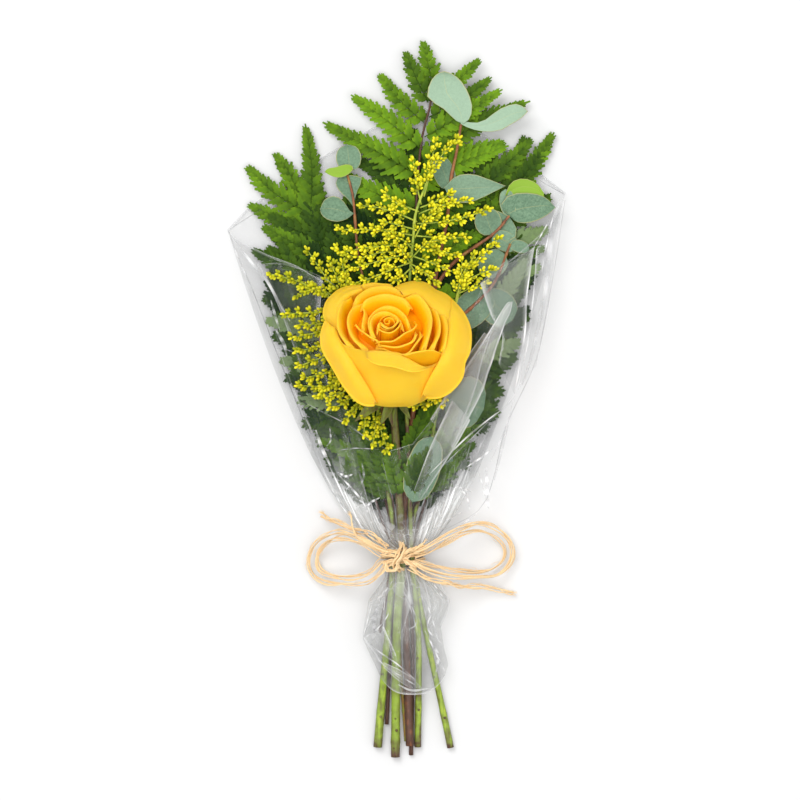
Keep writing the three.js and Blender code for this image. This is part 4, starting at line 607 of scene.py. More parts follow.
def spaced(dense, shares):
    """Points at the given shares of the length of a fine polyline."""
    steps = [0.0]
    for a, b in zip(dense, dense[1:]):
        steps.append(steps[-1] + (b - a).length)
    found = []
    for share in shares:
        goal = share * steps[-1]
        k = min(max(1, int(np.searchsorted(steps, goal))), len(dense) - 1)
        span = steps[k] - steps[k - 1]
        found.append(dense[k - 1].lerp(dense[k], (goal - steps[k - 1]) / span if span else 0))
    return found


def length_of(line):
    return sum((b - a).length for a, b in zip(line, line[1:]))


def heading(line, i):
    """From the point before to the point after, on a line."""
    return line[min(i + 1, len(line) - 1)] - line[max(i - 1, 0)]


def flat_side(way):
    """The level direction to the left of a way."""
    return Vector((-way.y, way.x, 0)).normalized()


def carried_sides(line):
    """Each point of a line with two directions square to it, which don't twist on the way."""
    along = (line[1] - line[0]).normalized()
    side = along.orthogonal().normalized()
    for i, centre in enumerate(line):
        ahead = heading(line, i).normalized()
        side = (along.rotation_difference(ahead) @ side).normalized()
        along = ahead
        yield i, centre, side, along.cross(side)


def mix(a, b, t):
    return a + (b - a) * t


def smoothstep(x, low, high):
    t = min(1, max(0, (x - low) / (high - low)))
    return t * t * (3 - 2 * t)


class Mould:
    """Collects the points and faces of one piece, with a paint value for each point."""

    def __init__(self):
        self.points = []
        self.faces = []
        self.paint = []
        self.slots = []

    def add(self, points, faces, paint, slot=0):
        start = len(self.points)
        self.points.extend(points)
        self.faces.extend(tuple(start + i for i in face) for face in faces)
        self.paint.extend(paint if isinstance(paint, list) else [paint] * len(points))
        self.slots.extend([slot] * len(faces))

    def mesh(self, name):
        mesh = bpy.data.meshes.new(name)
        mesh.from_pydata([(p[0] * MM, p[1] * MM, p[2] * MM) for p in self.points], [], self.faces)
        layer = mesh.attributes.new("paint", "FLOAT_COLOR", "POINT")
        layer.data.foreach_set("color", [x for p in self.paint for x in (*p, 1.0)[:4]])
        mesh.polygons.foreach_set("material_index", self.slots)
        return mesh

    def piece(self, name, materials, smooth_angle=None):
        mesh = self.mesh(name)
        for material in materials:
            mesh.materials.append(material)
        piece = bpy.data.objects.new(name, mesh)
        bpy.context.scene.collection.objects.link(piece)
        pick(piece)
        if smooth_angle is None:
            bpy.ops.object.shade_smooth()
        else:
            bpy.ops.object.shade_smooth_by_angle(angle=math.radians(smooth_angle))
        return piece


def pick(piece):
    """Makes one object the only selected and active one."""
    for other in bpy.context.view_layer.objects:
        other.select_set(other == piece)
    bpy.context.view_layer.objects.active = piece


def modify(piece, kind, **settings):
    """Adds one modifier and applies it."""
    pick(piece)
    modifier = piece.modifiers.new(kind.lower(), kind)
    for key, value in settings.items():
        setattr(modifier, key, value)
    bpy.ops.object.modifier_apply(modifier=modifier.name)


def hand_in(piece, slot, *nodes):
    """Attaches a finished piece to the root body and hides the imported parts that it stands for. slot is not
    used.
    """
    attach(piece, "root")
    if nodes:
        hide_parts(*nodes)


def woven_faces(rows, width, closed=True):
    """Four-sided faces between rows of points."""
    faces = []
    for i in range(rows - 1):
        for j in range(width if closed else width - 1):
            a, b = i * width + j, i * width + (j + 1) % width
            faces.append((a, b, b + width, a + width))
    return faces


def sheet_of(mould, rows, paint, slot=0, closed=False):
    """Joins rows of points into one surface. paint is given the row and the column."""
    width = len(rows[0])
    points = [p for row in rows for p in row]
    colours = [paint(i, j) for i in range(len(rows)) for j in range(width)]
    mould.add(points, woven_faces(len(rows), width, closed), colours, slot)


def tube(mould, route, radius, sides, steps, paint, slot=0, edge=0.0):
    """A closed tube along a smooth route. radius and paint are given the share of the way.

    edge is how far the first paint value grows from the top of the tube to its sides: painted shade on the
    sides and underside."""
    line = smooth_curve(route, steps + 1)
    points, colours = [], []
    for i, centre, side, across in carried_sides(line):
        for k in range(sides):
            turn = 2 * math.pi * k / sides
            reach = radius(i / steps, turn)
            way = side * math.cos(turn) + across * math.sin(turn)
            points.append(centre + way * reach)
            tone, *rest = paint(i / steps)
            # Painted shade: more of the first paint value on the sides and underside.
            colours.append((tone + edge * (1 - max(0, way.z)) ** 2, *rest))
    faces = woven_faces(steps + 1, sides)
    for ring, way in ((0, -1), (steps * sides, 1)):
        points.append(line[0] - (line[1] - line[0]).normalized() * 0.05 if way < 0
                      else line[-1] + (line[-1] - line[-2]).normalized() * 0.05)
        colours.append(paint(0 if way < 0 else 1))
        hub = len(points) - 1
        for k in range(sides):
            a, b = ring + k, ring + (k + 1) % sides
            faces.append((b, a, hub) if way < 0 else (a, b, hub))
    mould.add(points, faces, colours, slot)


# ---------------------------------------------------------------- materials
def new_material(name):
    material = bpy.data.materials.new(name)
    material.use_nodes = True
    tree = material.node_tree
    return material, tree, tree.nodes["Principled BSDF"]


def node(tree, kind, settings=None, **sockets):
    """Adds a node; a socket's name has _ for a space, and takes a link or a plain value."""
    made = tree.nodes.new(kind)
    for key, value in (settings or {}).items():
        setattr(made, key, value)
    for key, value in sockets.items():
        target = made.inputs[key.replace("_", " ")]
        if isinstance(value, bpy.types.NodeSocket):
            tree.links.new(value, target)
        else:
            target.default_value = value
    return made


def surface(shader, **values):
    """Sets plain values on a shader's sockets, each named with _ for a space."""
    for key, value in values.items():
        shader.inputs[key.replace("_", " ")].default_value = value


def ramp(tree, factor, stops):
    made = tree.nodes.new("ShaderNodeValToRGB")
    tree.links.new(factor, made.inputs["Fac"])
    elements = made.color_ramp.elements
    while len(elements) < len(stops):
        elements.new(0.5)
    for element, (place, colour) in zip(elements, stops):
        element.position = place
        element.color = (*colour, 1) if len(colour) == 3 else colour
    return made.outputs["Color"]


def blend_colours(tree, factor, a, b):
    made = node(tree, "ShaderNodeMix", {"data_type": "RGBA"})
    for index, value in ((0, factor), (6, a), (7, b)):
        if isinstance(value, bpy.types.NodeSocket):
            tree.links.new(value, made.inputs[index])
        elif index:
            made.inputs[index].default_value = (*value, 1)
        else:
            made.inputs[index].default_value = value
    return made.outputs[2]


def calculate(tree, operation, a, b=None, clamp=False):
    made = node(tree, "ShaderNodeMath", {"operation": operation, "use_clamp": clamp})
    for index, value in ((0, a), (1, b)):
        if isinstance(value, bpy.types.NodeSocket):
            tree.links.new(value, made.inputs[index])
        elif value is not None:
            made.inputs[index].default_value = value
    return made.outputs[0]


def times(tree, a, b, clamp=False):
    return calculate(tree, "MULTIPLY", a, b, clamp)


def plus(tree, a, b, clamp=False):
    return calculate(tree, "ADD", a, b, clamp)


def less(tree, a, b, clamp=False):
    return calculate(tree, "SUBTRACT", a, b, clamp)


def paint_channels(tree):
    attribute = node(tree, "ShaderNodeAttribute", {"attribute_name": "paint"})
    return node(tree, "ShaderNodeSeparateColor", Color=attribute.outputs["Color"]).outputs


def object_point(tree):
    return node(tree, "ShaderNodeTexCoord").outputs["Object"]


def effect_group(name, inputs, outputs):
    group = bpy.data.node_groups.new(name, "ShaderNodeTree")
    for label, kind, default in inputs:
        socket = group.interface.new_socket(label, in_out="INPUT", socket_type=kind)
        if default is not None:
            socket.default_value = default
    for label, kind in outputs:
        group.interface.new_socket(label, in_out="OUTPUT", socket_type=kind)
    return group, group.nodes.new("NodeGroupInput"), group.nodes.new("NodeGroupOutput")


def mottle_group():
    """Soft cloudy change between two colours, with finer specks on top."""
    if "Mottle" in bpy.data.node_groups:
        return bpy.data.node_groups["Mottle"]
    group, start, end = effect_group(
        "Mottle",
        [("Point", "NodeSocketVector", None), ("Cloud size", "NodeSocketFloat", 120.0),
         ("Speck size", "NodeSocketFloat", 900.0), ("Speck strength", "NodeSocketFloat", 0.5)],
        [("Clouds", "NodeSocketFloat"), ("Specks", "NodeSocketFloat")])
    clouds = node(group, "ShaderNodeTexNoise", Vector=start.outputs["Point"],
                  Scale=start.outputs["Cloud size"], Detail=3.0)
    specks = node(group, "ShaderNodeTexNoise", Vector=start.outputs["Point"],
                  Scale=start.outputs["Speck size"], Detail=4.0, Roughness=0.7)
    sharp = times(group, less(group, specks.outputs["Fac"], 0.5), 6.0)
    strong = times(group, sharp, start.outputs["Speck strength"])
    spread = times(group, less(group, clouds.outputs["Fac"], 0.5), 3.0)
    group.links.new(plus(group, spread, 0.5, True), end.inputs["Clouds"])
    group.links.new(plus(group, strong, 0.5, True), end.inputs["Specks"])
    return group


def mottle(tree, cloud_size, speck_size, strength):
    return node(tree, "ShaderNodeGroup", {"node_tree": mottle_group()}, Point=object_point(tree),
                Cloud_size=cloud_size, Speck_size=speck_size, Speck_strength=strength).outputs


def bump(tree, shader, height, strength, distance):
    made = node(tree, "ShaderNodeBump", Height=height, Strength=strength, Distance=distance)
    tree.links.new(made.outputs["Normal"], shader.inputs["Normal"])


def petal_material(settings):
    material, tree, shader = new_material("rose_petal")
    red = paint_channels(tree)["Red"]
    # Deep to rim: partly the petal's own deeper orange at its foot, partly painted shade between the petals,
    # from the paint's red channel.
    body = ramp(tree, red, [(0.0, settings.petal_depth), (0.5, settings.petal_middle),
                            (0.82, settings.petal_face), (1.0, settings.petal_rim)])
    clouds = mottle(tree, 90.0, 700.0, 0.3)
    varied = blend_colours(tree, times(tree, clouds["Clouds"], 0.18), body, settings.petal_middle)
    tree.links.new(varied, shader.inputs["Base Color"])
    surface(shader, Roughness=0.55, Specular_IOR_Level=0.12, Subsurface_Weight=0.45,
            Subsurface_Radius=(1.0, 0.55, 0.05), Subsurface_Scale=0.005)
    bump(tree, shader, clouds["Specks"], 0.08, 0.0004)
    return material


def leaf_green_material(settings):
    material, tree, shader = new_material("fern_leaf")
    red, green, blue = paint_channels(tree)[:3]
    clouds = mottle(tree, 160.0, 1500.0, 0.6)
    varied = plus(tree, times(tree, clouds["Clouds"], 0.7), 0.7)
    # red holds each leaflet's tone, darkened by its painted shade.
    tone = times(tree, red, varied, True)
    face = ramp(tree, tone, [(0.0, settings.fern_deep), (1.0, settings.fern_lit)])
    ribs = times(tree, times(tree, green, 0.55), red, True)
    ribbed = blend_colours(tree, ribs, face, settings.fern_rib)
    pale = blend_colours(tree, blue, ribbed, settings.fern_underside)
    tree.links.new(pale, shader.inputs["Base Color"])
    surface(shader, Roughness=0.45, Specular_IOR_Level=0.05)
    bump(tree, shader, clouds["Specks"], 0.25, 0.0004)
    return material


def eucalyptus_leaf_material(settings):
    material, tree, shader = new_material("eucalyptus_leaf")
    red, green, blue = paint_channels(tree)[:3]
    clouds = mottle(tree, 130.0, 800.0, 0.16)
    waxy = ramp(tree, clouds["Specks"], [(0.3, settings.eucalyptus_dark), (0.62, settings.eucalyptus_light)])
    shaded = blend_colours(tree, times(tree, clouds["Clouds"], 0.3), waxy, settings.eucalyptus_dark)
    net = node(tree, "ShaderNodeTexNoise", Vector=object_point(tree), Scale=210.0, Detail=1.0, Distortion=0.8)
    ridge = calculate(tree, "ABSOLUTE", less(tree, net.outputs["Fac"], 0.5))
    veins = less(tree, 1.0, times(tree, ridge, 55.0), True)
    attribute = node(tree, "ShaderNodeAttribute", {"attribute_name": "paint"})
    phase = calculate(tree, "FRACT", plus(tree, attribute.outputs["Alpha"],
                                          times(tree, net.outputs["Fac"], 0.3)))
    rib = calculate(tree, "ABSOLUTE", less(tree, phase, 0.5))
    ribs = less(tree, 1.0, times(tree, rib, 16.0), True)
    lines = calculate(tree, "MAXIMUM", times(tree, veins, 0.25), times(tree, ribs, 0.6))
    veined = blend_colours(tree, lines, shaded, settings.eucalyptus_dark)
    frosted = blend_colours(tree, times(tree, red, 0.6), veined, settings.eucalyptus_bloom)
    lime = blend_colours(tree, blue, frosted, settings.lime_leaf)
    rimmed = blend_colours(tree, green, lime, settings.eucalyptus_rim)
    tree.links.new(rimmed, shader.inputs["Base Color"])
    surface(shader, Roughness=0.62, Specular_IOR_Level=0.25)
    bump(tree, shader, clouds["Specks"], 0.2, 0.0004)
    return material


def stem_material(name, colours):
    """Green to brown along the paint's red channel, with streaks and specks."""
    material, tree, shader = new_material(name)
    red = paint_channels(tree)["Red"]
    clouds = mottle(tree, 220.0, 1300.0, 0.8)
    grain = node(tree, "ShaderNodeVectorMath", {"operation": "MULTIPLY"})
    tree.links.new(object_point(tree), grain.inputs[0])
    grain.inputs[1].default_value = (1.0, 0.07, 1.0)
    streaks = node(tree, "ShaderNodeTexNoise", Vector=grain.outputs["Vector"], Scale=650.0, Detail=2.0)
    mixed = plus(tree, times(tree, clouds["Clouds"], 0.35), times(tree, streaks.outputs["Fac"], 0.9))
    tone = plus(tree, red, less(tree, mixed, 0.52), True)
    body = ramp(tree, tone, [(0.0, colours[0]), (0.5, colours[1]), (1.0, colours[2])])
    tree.links.new(body, shader.inputs["Base Color"])
    surface(shader, Roughness=0.4, Specular_IOR_Level=0.35)
    bump(tree, shader, clouds["Specks"], 0.3, 0.0005)
    return material


def bud_material(settings):
    material, tree, shader = new_material("goldenrod_bud")
    red, green = paint_channels(tree)[:2]
    # From the bud's foot to its tip: partly the bud's own greener foot, partly painted shade at the foot and
    # a painted highlight at the tip.
    body = ramp(tree, green, [(0.1, settings.goldenrod_base), (0.4, settings.goldenrod_face),
                              (0.9, settings.goldenrod_tip)])
    clouds = mottle(tree, 300.0, 2500.0, 0.5)
    varied = blend_colours(tree, times(tree, red, 0.8), body, settings.goldenrod_base)
    tree.links.new(varied, shader.inputs["Base Color"])
    surface(shader, Roughness=0.5, Specular_IOR_Level=0.15, Subsurface_Weight=0.1,
            Subsurface_Scale=0.001)
    bump(tree, shader, clouds["Specks"], 0.15, 0.0002)
    return material


def raffia_material(settings):
    material, tree, shader = new_material("raffia_strand")
    red, green = paint_channels(tree)[:2]
    clouds = mottle(tree, 200.0, 2200.0, 1.0)
    streaks = calculate(tree, "FRACT", times(tree, green, 5.0))
    tone = plus(tree, times(tree, red, 0.5), times(tree, clouds["Specks"], 0.5), True)
    # Dark to light: partly the strands' own varied tone, partly painted shade between the fibres and painted
    # highlight on the lit ones.
    body = ramp(tree, tone, [(0.0, settings.raffia_dark), (0.45, settings.raffia_face),
                             (1.0, settings.raffia_light)])
    tree.links.new(body, shader.inputs["Base Color"])
    surface(shader, Roughness=0.65)
    height = plus(tree, streaks, clouds["Specks"])
    bump(tree, shader, height, 0.5, 0.0003)
    return material


def crease_glint_group():
    """Long bright lines of painted highlight, and flat facets with sharp edges for painted glints, on the
    film's own map.
    """
    group, start, end = effect_group(
        "Film creases",
        [("Map", "NodeSocketVector", None), ("Across", "NodeSocketFloat", 40.0),
         ("Along", "NodeSocketFloat", 3.0), ("Bend", "NodeSocketFloat", 0.6)],
        [("Lines", "NodeSocketFloat"), ("Facets", "NodeSocketFloat"), ("Edges", "NodeSocketFloat")])
    sides = node(group, "ShaderNodeSeparateXYZ", Vector=start.outputs["Map"])
    across = times(group, sides.outputs["X"], start.outputs["Across"])
    along = times(group, sides.outputs["Y"], start.outputs["Along"])
    plain = node(group, "ShaderNodeCombineXYZ", X=across, Y=along)
    waves = node(group, "ShaderNodeTexNoise", Vector=plain.outputs["Vector"], Scale=0.9, Detail=1.0)
    shift = node(group, "ShaderNodeVectorMath", {"operation": "SCALE"}, Vector=waves.outputs["Color"],
                 Scale=start.outputs["Bend"])
    bent = node(group, "ShaderNodeVectorMath", {"operation": "ADD"})
    group.links.new(plain.outputs["Vector"], bent.inputs[0])
    group.links.new(shift.outputs["Vector"], bent.inputs[1])
    ridges = node(group, "ShaderNodeTexNoise", Vector=bent.outputs["Vector"], Scale=1.0, Detail=2.0,
                  Roughness=0.6)
    middle = calculate(group, "ABSOLUTE", less(group, ridges.outputs["Fac"], 0.5))
    thin = less(group, 1.0, times(group, middle, 20.0), True)
    gate = node(group, "ShaderNodeTexNoise", Vector=plain.outputs["Vector"], Scale=0.7, Detail=1.0)
    open_gate = times(group, less(group, gate.outputs["Fac"], 0.48), 9.0, True)
    group.links.new(times(group, thin, open_gate), end.inputs["Lines"])
    cells = node(group, "ShaderNodeTexVoronoi", {"voronoi_dimensions": "2D"},
                 Vector=bent.outputs["Vector"], Scale=1.0)
    tint = node(group, "ShaderNodeSeparateColor", Color=cells.outputs["Color"])
    group.links.new(tint.outputs["Red"], end.inputs["Facets"])
    rims = node(group, "ShaderNodeTexVoronoi", {"feature": "DISTANCE_TO_EDGE", "voronoi_dimensions": "2D"},
                Vector=bent.outputs["Vector"], Scale=1.0)
    sharp = less(group, 1.0, times(group, rims.outputs["Distance"], 16.0), True)
    group.links.new(times(group, sharp, open_gate), end.inputs["Edges"])
    return group


def crease_glints(tree, group, across, along, bend):
    place = node(tree, "ShaderNodeAttribute", {"attribute_name": "film_map"})
    return node(tree, "ShaderNodeGroup", {"node_tree": group}, Map=place.outputs["Vector"],
                Across=across, Along=along, Bend=bend).outputs


def film_edge_material(settings):
    """The film's own rim seen edge on: a thin grey line that comes and goes."""
    material, tree, shader = new_material("film_rim")
    clouds = mottle(tree, 60.0, 400.0, 0.4)
    tree.links.new(plus(tree, times(tree, clouds["Clouds"], 0.35), 0.2, True), shader.inputs["Alpha"])
    surface(shader, Base_Color=(*settings.film_tint, 1), Roughness=0.15)
    return material


def film_material(settings):
    """Clear film: a thin grey veil, long white lines of painted highlight, and painted glints on facets where
    it is gathered.
    """
    material, tree, shader = new_material("clear_film")
    # Paint: red is painted highlight along folds and cut edges, green is where the film is gathered, blue is
    # a pale haze of painted reflection.
    fold, gathered, veiled = paint_channels(tree)[:3]
    group = crease_glint_group()
    long_lines = crease_glints(tree, group, 44.0, 2.2, 0.5)
    shards = crease_glints(tree, group, 44.0, 15.0, 0.45)
    small = crease_glints(tree, group, 84.0, 26.0, 0.4)
    # Painted glints: the brightest facets, the facets' edges and the long lines turn white and more opaque.
    glints = times(tree, less(tree, shards["Facets"], 0.86), 3.0, True)
    fine = times(tree, less(tree, small["Facets"], 0.86), 4.0, True)
    edges = calculate(tree, "MAXIMUM", times(tree, shards["Edges"], 0.55), times(tree, small["Edges"], 0.5))
    crumple_glints = calculate(tree, "MAXIMUM", calculate(tree, "MAXIMUM", glints, fine), edges)
    near_tie = times(tree, crumple_glints, gathered)
    lines = times(tree, long_lines["Lines"], plus(tree, gathered, 0.12, True))
    bright = calculate(tree, "MAXIMUM", calculate(tree, "MAXIMUM", near_tie, lines), fold)
    # Painted reflection: where the paint's blue is high the grey tint turns to a pale haze.
    hazed = blend_colours(tree, times(tree, veiled, 4.0, True), settings.film_tint, settings.film_haze)
    colour = blend_colours(tree, bright, hazed, (0.97, 0.97, 0.98))
    tree.links.new(colour, shader.inputs["Base Color"])
    # Some facets a little more opaque in the film's grey: painted shade among the glints.
    patchy = times(tree, times(tree, shards["Facets"], gathered), 0.14)
    veil = plus(tree, plus(tree, patchy, settings.film_alpha), times(tree, veiled, 0.7))
    shown = plus(tree, times(tree, bright, 0.7), veil, True)
    tree.links.new(shown, shader.inputs["Alpha"])
    surface(shader, Roughness=0.12, Specular_IOR_Level=0.6)
    height = plus(tree, shards["Facets"], small["Facets"])
    bump(tree, shader, height, 0.12, 0.002)
    return material


# ---------------------------------------------------------------- rose
def bloom_place(x, y, high):
    """Where a point read in plan lies round the bloom's axis: aside, in front and up it."""
    aside = x - (BLOOM_BASE.x + BLOOM_AXIS.x * high)
    front = (BLOOM_BASE.y + BLOOM_AXIS.y * high - y) / -BLOOM_FRONT.y
    return Vector((aside, front, high))


def bloom_point(place):
    return BLOOM_BASE + Vector((place.x, 0, 0)) + BLOOM_FRONT * place.y + BLOOM_AXIS * place.z


def petal_rows(curves, belly, flare, lip, tone):
    """Rows of points from the petal's throat to its rolled rim, each with its paint."""
    traced = [smooth_curve([bloom_place(*p) for p in curve], PETAL_COLUMNS) for curve in curves]
    first = traced[0]
    rims = [math.atan2(p.x, p.y) for p in first]
    for k in range(1, len(rims)):
        while rims[k] - rims[k - 1] > math.pi:
            rims[k] -= 2 * math.pi
        while rims[k] - rims[k - 1] < -math.pi:
            rims[k] += 2 * math.pi
    middle = sum(rims) / len(rims)
    mean = sum(math.hypot(p.x, p.y) for p in first) / len(first)
    rows, shares = [], []
    for depth in PETAL_DEPTHS:
        share = 1 - depth / PETAL_DEPTH_SCALE
        row = []
        for p, rim in zip(first, rims):
            reach = mix(mean, math.hypot(p.x, p.y), smoothstep(share, 0.1, 0.75))
            drawn = flare * (1 - math.exp(-depth / (0.9 * abs(flare) + 0.4)))
            swell = belly * (1 - share) * (1 - math.exp(-share / 0.12)) * min(1, p.z / 38) ** 1.5
            radius = max(0.5, reach - drawn) * share ** 0.4 + swell
            spread = mix(PETAL_THROAT_SPREAD, 1.0, smoothstep(share, 0, 0.5))
            angle = middle + (rim - middle) * spread
            wave = 0.35 * math.sin(3 * rim + tone * 9 + depth * 0.2)
            row.append(Vector(((radius + wave) * math.sin(angle), (radius + wave) * math.cos(angle),
                               p.z * share)))
        rows.append(row)
        shares.append(max(0, 1 - depth / PETAL_SHADE_DEPTH))
    droop = SINGLE_RIM_DROOP if len(curves) == 1 else 0
    rim = []
    for k, p in enumerate(first):
        end = min(k, len(first) - 1 - k) / (len(first) - 1)
        fall = droop * (1 - smoothstep(end, 0, 0.16))
        rim.append(p + Vector((0, 0, 0.25 * math.sin(k * 1.1 + tone * 20) - fall)))
    rows.append(rim)
    shares.append(1)
    for before, after in zip([rim, *traced[1:]], traced[1:]):
        for step in (1 / 3, 2 / 3, 1):
            lift = 0.9 * math.sin(math.pi * step)
            rows.append([a.lerp(b, step) + Vector((0, 0, lift)) for a, b in zip(before, after)])
            shares.append(1)
    last = rows[-1]
    for out, down in RIM_ROLL:
        row = []
        for p in last:
            flat = Vector((p.x, p.y, 0))
            flat = flat.normalized() if flat.length > 1 else flat
            row.append(p + flat * (out * lip) + Vector((0, 0, down * lip)))
        rows.append(row)
        shares.append(1)
    return [[bloom_point(p) for p in row] for row in rows], shares


def petal_piece(name, petal, tone, thickness, material):
    """One petal, shaped from a plain grid, thickened and smoothed."""
    curves, belly, flare, lip, depth_shade_lift = petal
    rows, shares = petal_rows(curves, belly, flare, lip, tone)
    bpy.ops.object.select_all(action="DESELECT")
    bpy.ops.mesh.primitive_grid_add(
        x_subdivisions=PETAL_COLUMNS - 1, y_subdivisions=len(rows) - 1, size=1)
    piece = bpy.context.object
    piece.name = name
    piece.location = (0, 0, 0)
    mesh = piece.data
    mesh.vertices.foreach_set("co", [x * MM for row in rows for p in row for x in p])
    layer = mesh.attributes.new("paint", "FLOAT_COLOR", "POINT")
    # Red paint: painted shade in the depths, lifted on the open outer petals.
    layer.data.foreach_set(
        "color", [x for s in shares for _ in rows[0] for x in (max(s, depth_shade_lift), tone, 0, 1.0)])
    mesh.materials.append(material)
    mesh.update()
    modify(piece, "SOLIDIFY", thickness=thickness, offset=0)
    modify(piece, "SUBSURF", levels=1, render_levels=1)
    return piece


def heart_rows():
    """The rolled heart: one strip wound from the middle out."""
    rows = []
    for depth in HEART_DEPTHS:
        row = []
        for i in range(HEART_STEPS + 1):
            share = i / HEART_STEPS
            angle = -2 * math.pi * HEART_TURNS * share + 2.4
            bulge = (1.5 * share ** 2 * math.sin(math.pi * min(1, depth / 9))
                     - 0.5 * (1 - math.exp(-depth / 1.2)))
            radius = 0.35 + 5.2 * share ** 0.85 + bulge
            top = HEART_TOP - 2.6 * share + 0.3 * math.sin(7 * share)
            row.append(Vector((radius * math.sin(angle) * 1.05, radius * math.cos(angle) * 1.15 - 1.0,
                               top - depth)))
        rows.append(row)
    return [[bloom_point(p) for p in row] for row in rows]


def make_rose(settings):
    rng = random.Random(ROSE_SEED)
    material = petal_material(settings)
    pieces = []
    for name, petal in PETALS.items():
        pieces.append(petal_piece("petal_" + name, petal, rng.random(), settings.petal_thickness, material))
    heart = Mould()
    # Painted shade in the heart: darker deep down, its outer turn painted lighter, and the bed under the
    # petals in the deep shade colour.
    sheet_of(heart, heart_rows(), lambda i, j: (
        max(HEART_SHADES[i], min(0.8, (j / HEART_STEPS) ** 3) if i else 0), 0.5, 0))
    packed = []
    for aside, front, high in HEART_BED:
        packed.append([bloom_point(Vector((aside * math.sin(t), front * math.cos(t) - HEART_BED_BACK, high)))
                       for t in (2 * math.pi * k / HEART_BED_SIDES for k in range(HEART_BED_SIDES))])
    sheet_of(heart, packed, lambda i, j: (0.12, 0.5, 0), closed=True)
    core = heart.piece("petal_heart", [material])
    modify(core, "SOLIDIFY", thickness=settings.petal_thickness, offset=0)
    modify(core, "SUBSURF", levels=1, render_levels=1)
    pieces.append(core)
    bloom = join_pieces(pieces, "rose_petals")
    pick(bloom)
    bpy.ops.object.shade_smooth()
    hand_in(bloom, "petals", "rose_bloom")


def join_pieces(pieces, name):
    bpy.ops.object.select_all(action="DESELECT")
    for piece in pieces:
        piece.select_set(True)
    bpy.context.view_layer.objects.active = pieces[0]
    bpy.ops.object.join()
    joined = bpy.context.object
    joined.name = name
    joined.data.name = name
    return joined


def sepal(mould, route, half_width):
    line = smooth_curve(route, SEPAL_STEPS + 1)
    rows = []
    for i, centre in enumerate(line):
        share = i / SEPAL_STEPS
        across = flat_side(heading(line, i))
        half = half_width * math.sin(math.pi * mix(0.3, 1.0, share)) + 0.05
        rows.append([centre + across * (half * k / 2) + Vector((0, 0, 0.9 * abs(k) * half / 3))
                     for k in (-2, -1, 0, 1, 2)])
    sheet_of(mould, rows, lambda i, j: (0.35 + 0.2 * i / SEPAL_STEPS + (0.15 if j == 2 else 0), 0, 0))


def leaf_scars(mould, route, radius, places, slot=0):
    """Small brown scars on a stem, as share along it and turn round it."""
    shape = bud_shape()
    line = smooth_curve(route, SCAR_STEPS + 1)
    for share, turn in places:
        k = int(share * SCAR_STEPS)
        ahead = (line[k + 1] - line[k]).normalized()
        across = flat_side(ahead)
        out = across * math.cos(turn) + across.cross(ahead) * -math.sin(turn)
        out = out if out.z > 0 else -out
        size = 0.6 + 0.3 * math.sin(40 * share + turn) ** 2
        put_bud(mould, shape, line[k] + out * (radius - 0.3), (out + ahead * 0.6).normalized(), size, size,
                0.75, slot)


def make_rose_stem(settings):
    material = stem_material(
        "rose_stem", (settings.stem_green, settings.sepal_olive, settings.stem_brown))
    mould = Mould()
    for route, half_width in SEPALS:
        sepal(mould, route, half_width)
    leaves = mould.piece("rose_sepals", [material])
    modify(leaves, "SOLIDIFY", thickness=SEPAL_THICKNESS, offset=0)
    modify(leaves, "SUBSURF", levels=1, render_levels=1)
    mould = Mould()
    hip = BLOOM_BASE - BLOOM_AXIS * HIP_DROP
    route = [*ROSE_STEM_FOOT, (-3.2, -10, hip.z - 3), tuple(hip)]

    def stem_radius(share, turn):
        swell = sum(0.35 * math.exp(-((share - s) / 0.008) ** 2) for s in ROSE_STEM_SCARS)
        return mix(*ROSE_STEM_RADII, share) + swell + 0.08 * math.sin(3 * turn + 9 * share)

    def stem_tone(share):
        scar = max(math.exp(-((share - s) / 0.007) ** 2) for s in ROSE_STEM_SCARS)
        cut = 1 - smoothstep(share, 0.005, 0.05)
        # Painted shade: from about half way up, inside the sleeve and under the leaves, the stem is painted
        # darker and browner.
        deep = 0.62 * smoothstep(share, 0.5, 0.6)
        return (min(1, 0.02 + 0.35 * scar + 0.8 * cut + deep), 0, 0)

    # Its sides and underside carry painted shade.
    tube(mould, route, stem_radius, 12, 120, stem_tone, edge=0.35)
    leaf_scars(mould, route, ROSE_STEM_RADII[0], ((0.03, 1.2), (0.075, 1.8), (0.112, 1.5)))
    rows = []
    for high, radius in HIP_PROFILE:
        rows.append([BLOOM_BASE + BLOOM_AXIS * high + Vector((radius * math.cos(t), 0, 0))
                     + BLOOM_FRONT * (radius * math.sin(t))
                     for t in (2 * math.pi * k / HIP_SIDES for k in range(HIP_SIDES))])
    sheet_of(mould, rows, lambda i, j: (0.3, 0, 0), closed=True)
    stem = mould.piece("rose_stalk", [material])
    piece = join_pieces([stem, leaves], "rose_stem_and_sepals")
    pick(piece)
    bpy.ops.object.shade_smooth()
    hand_in(piece, "rose_green", "rose_stem")


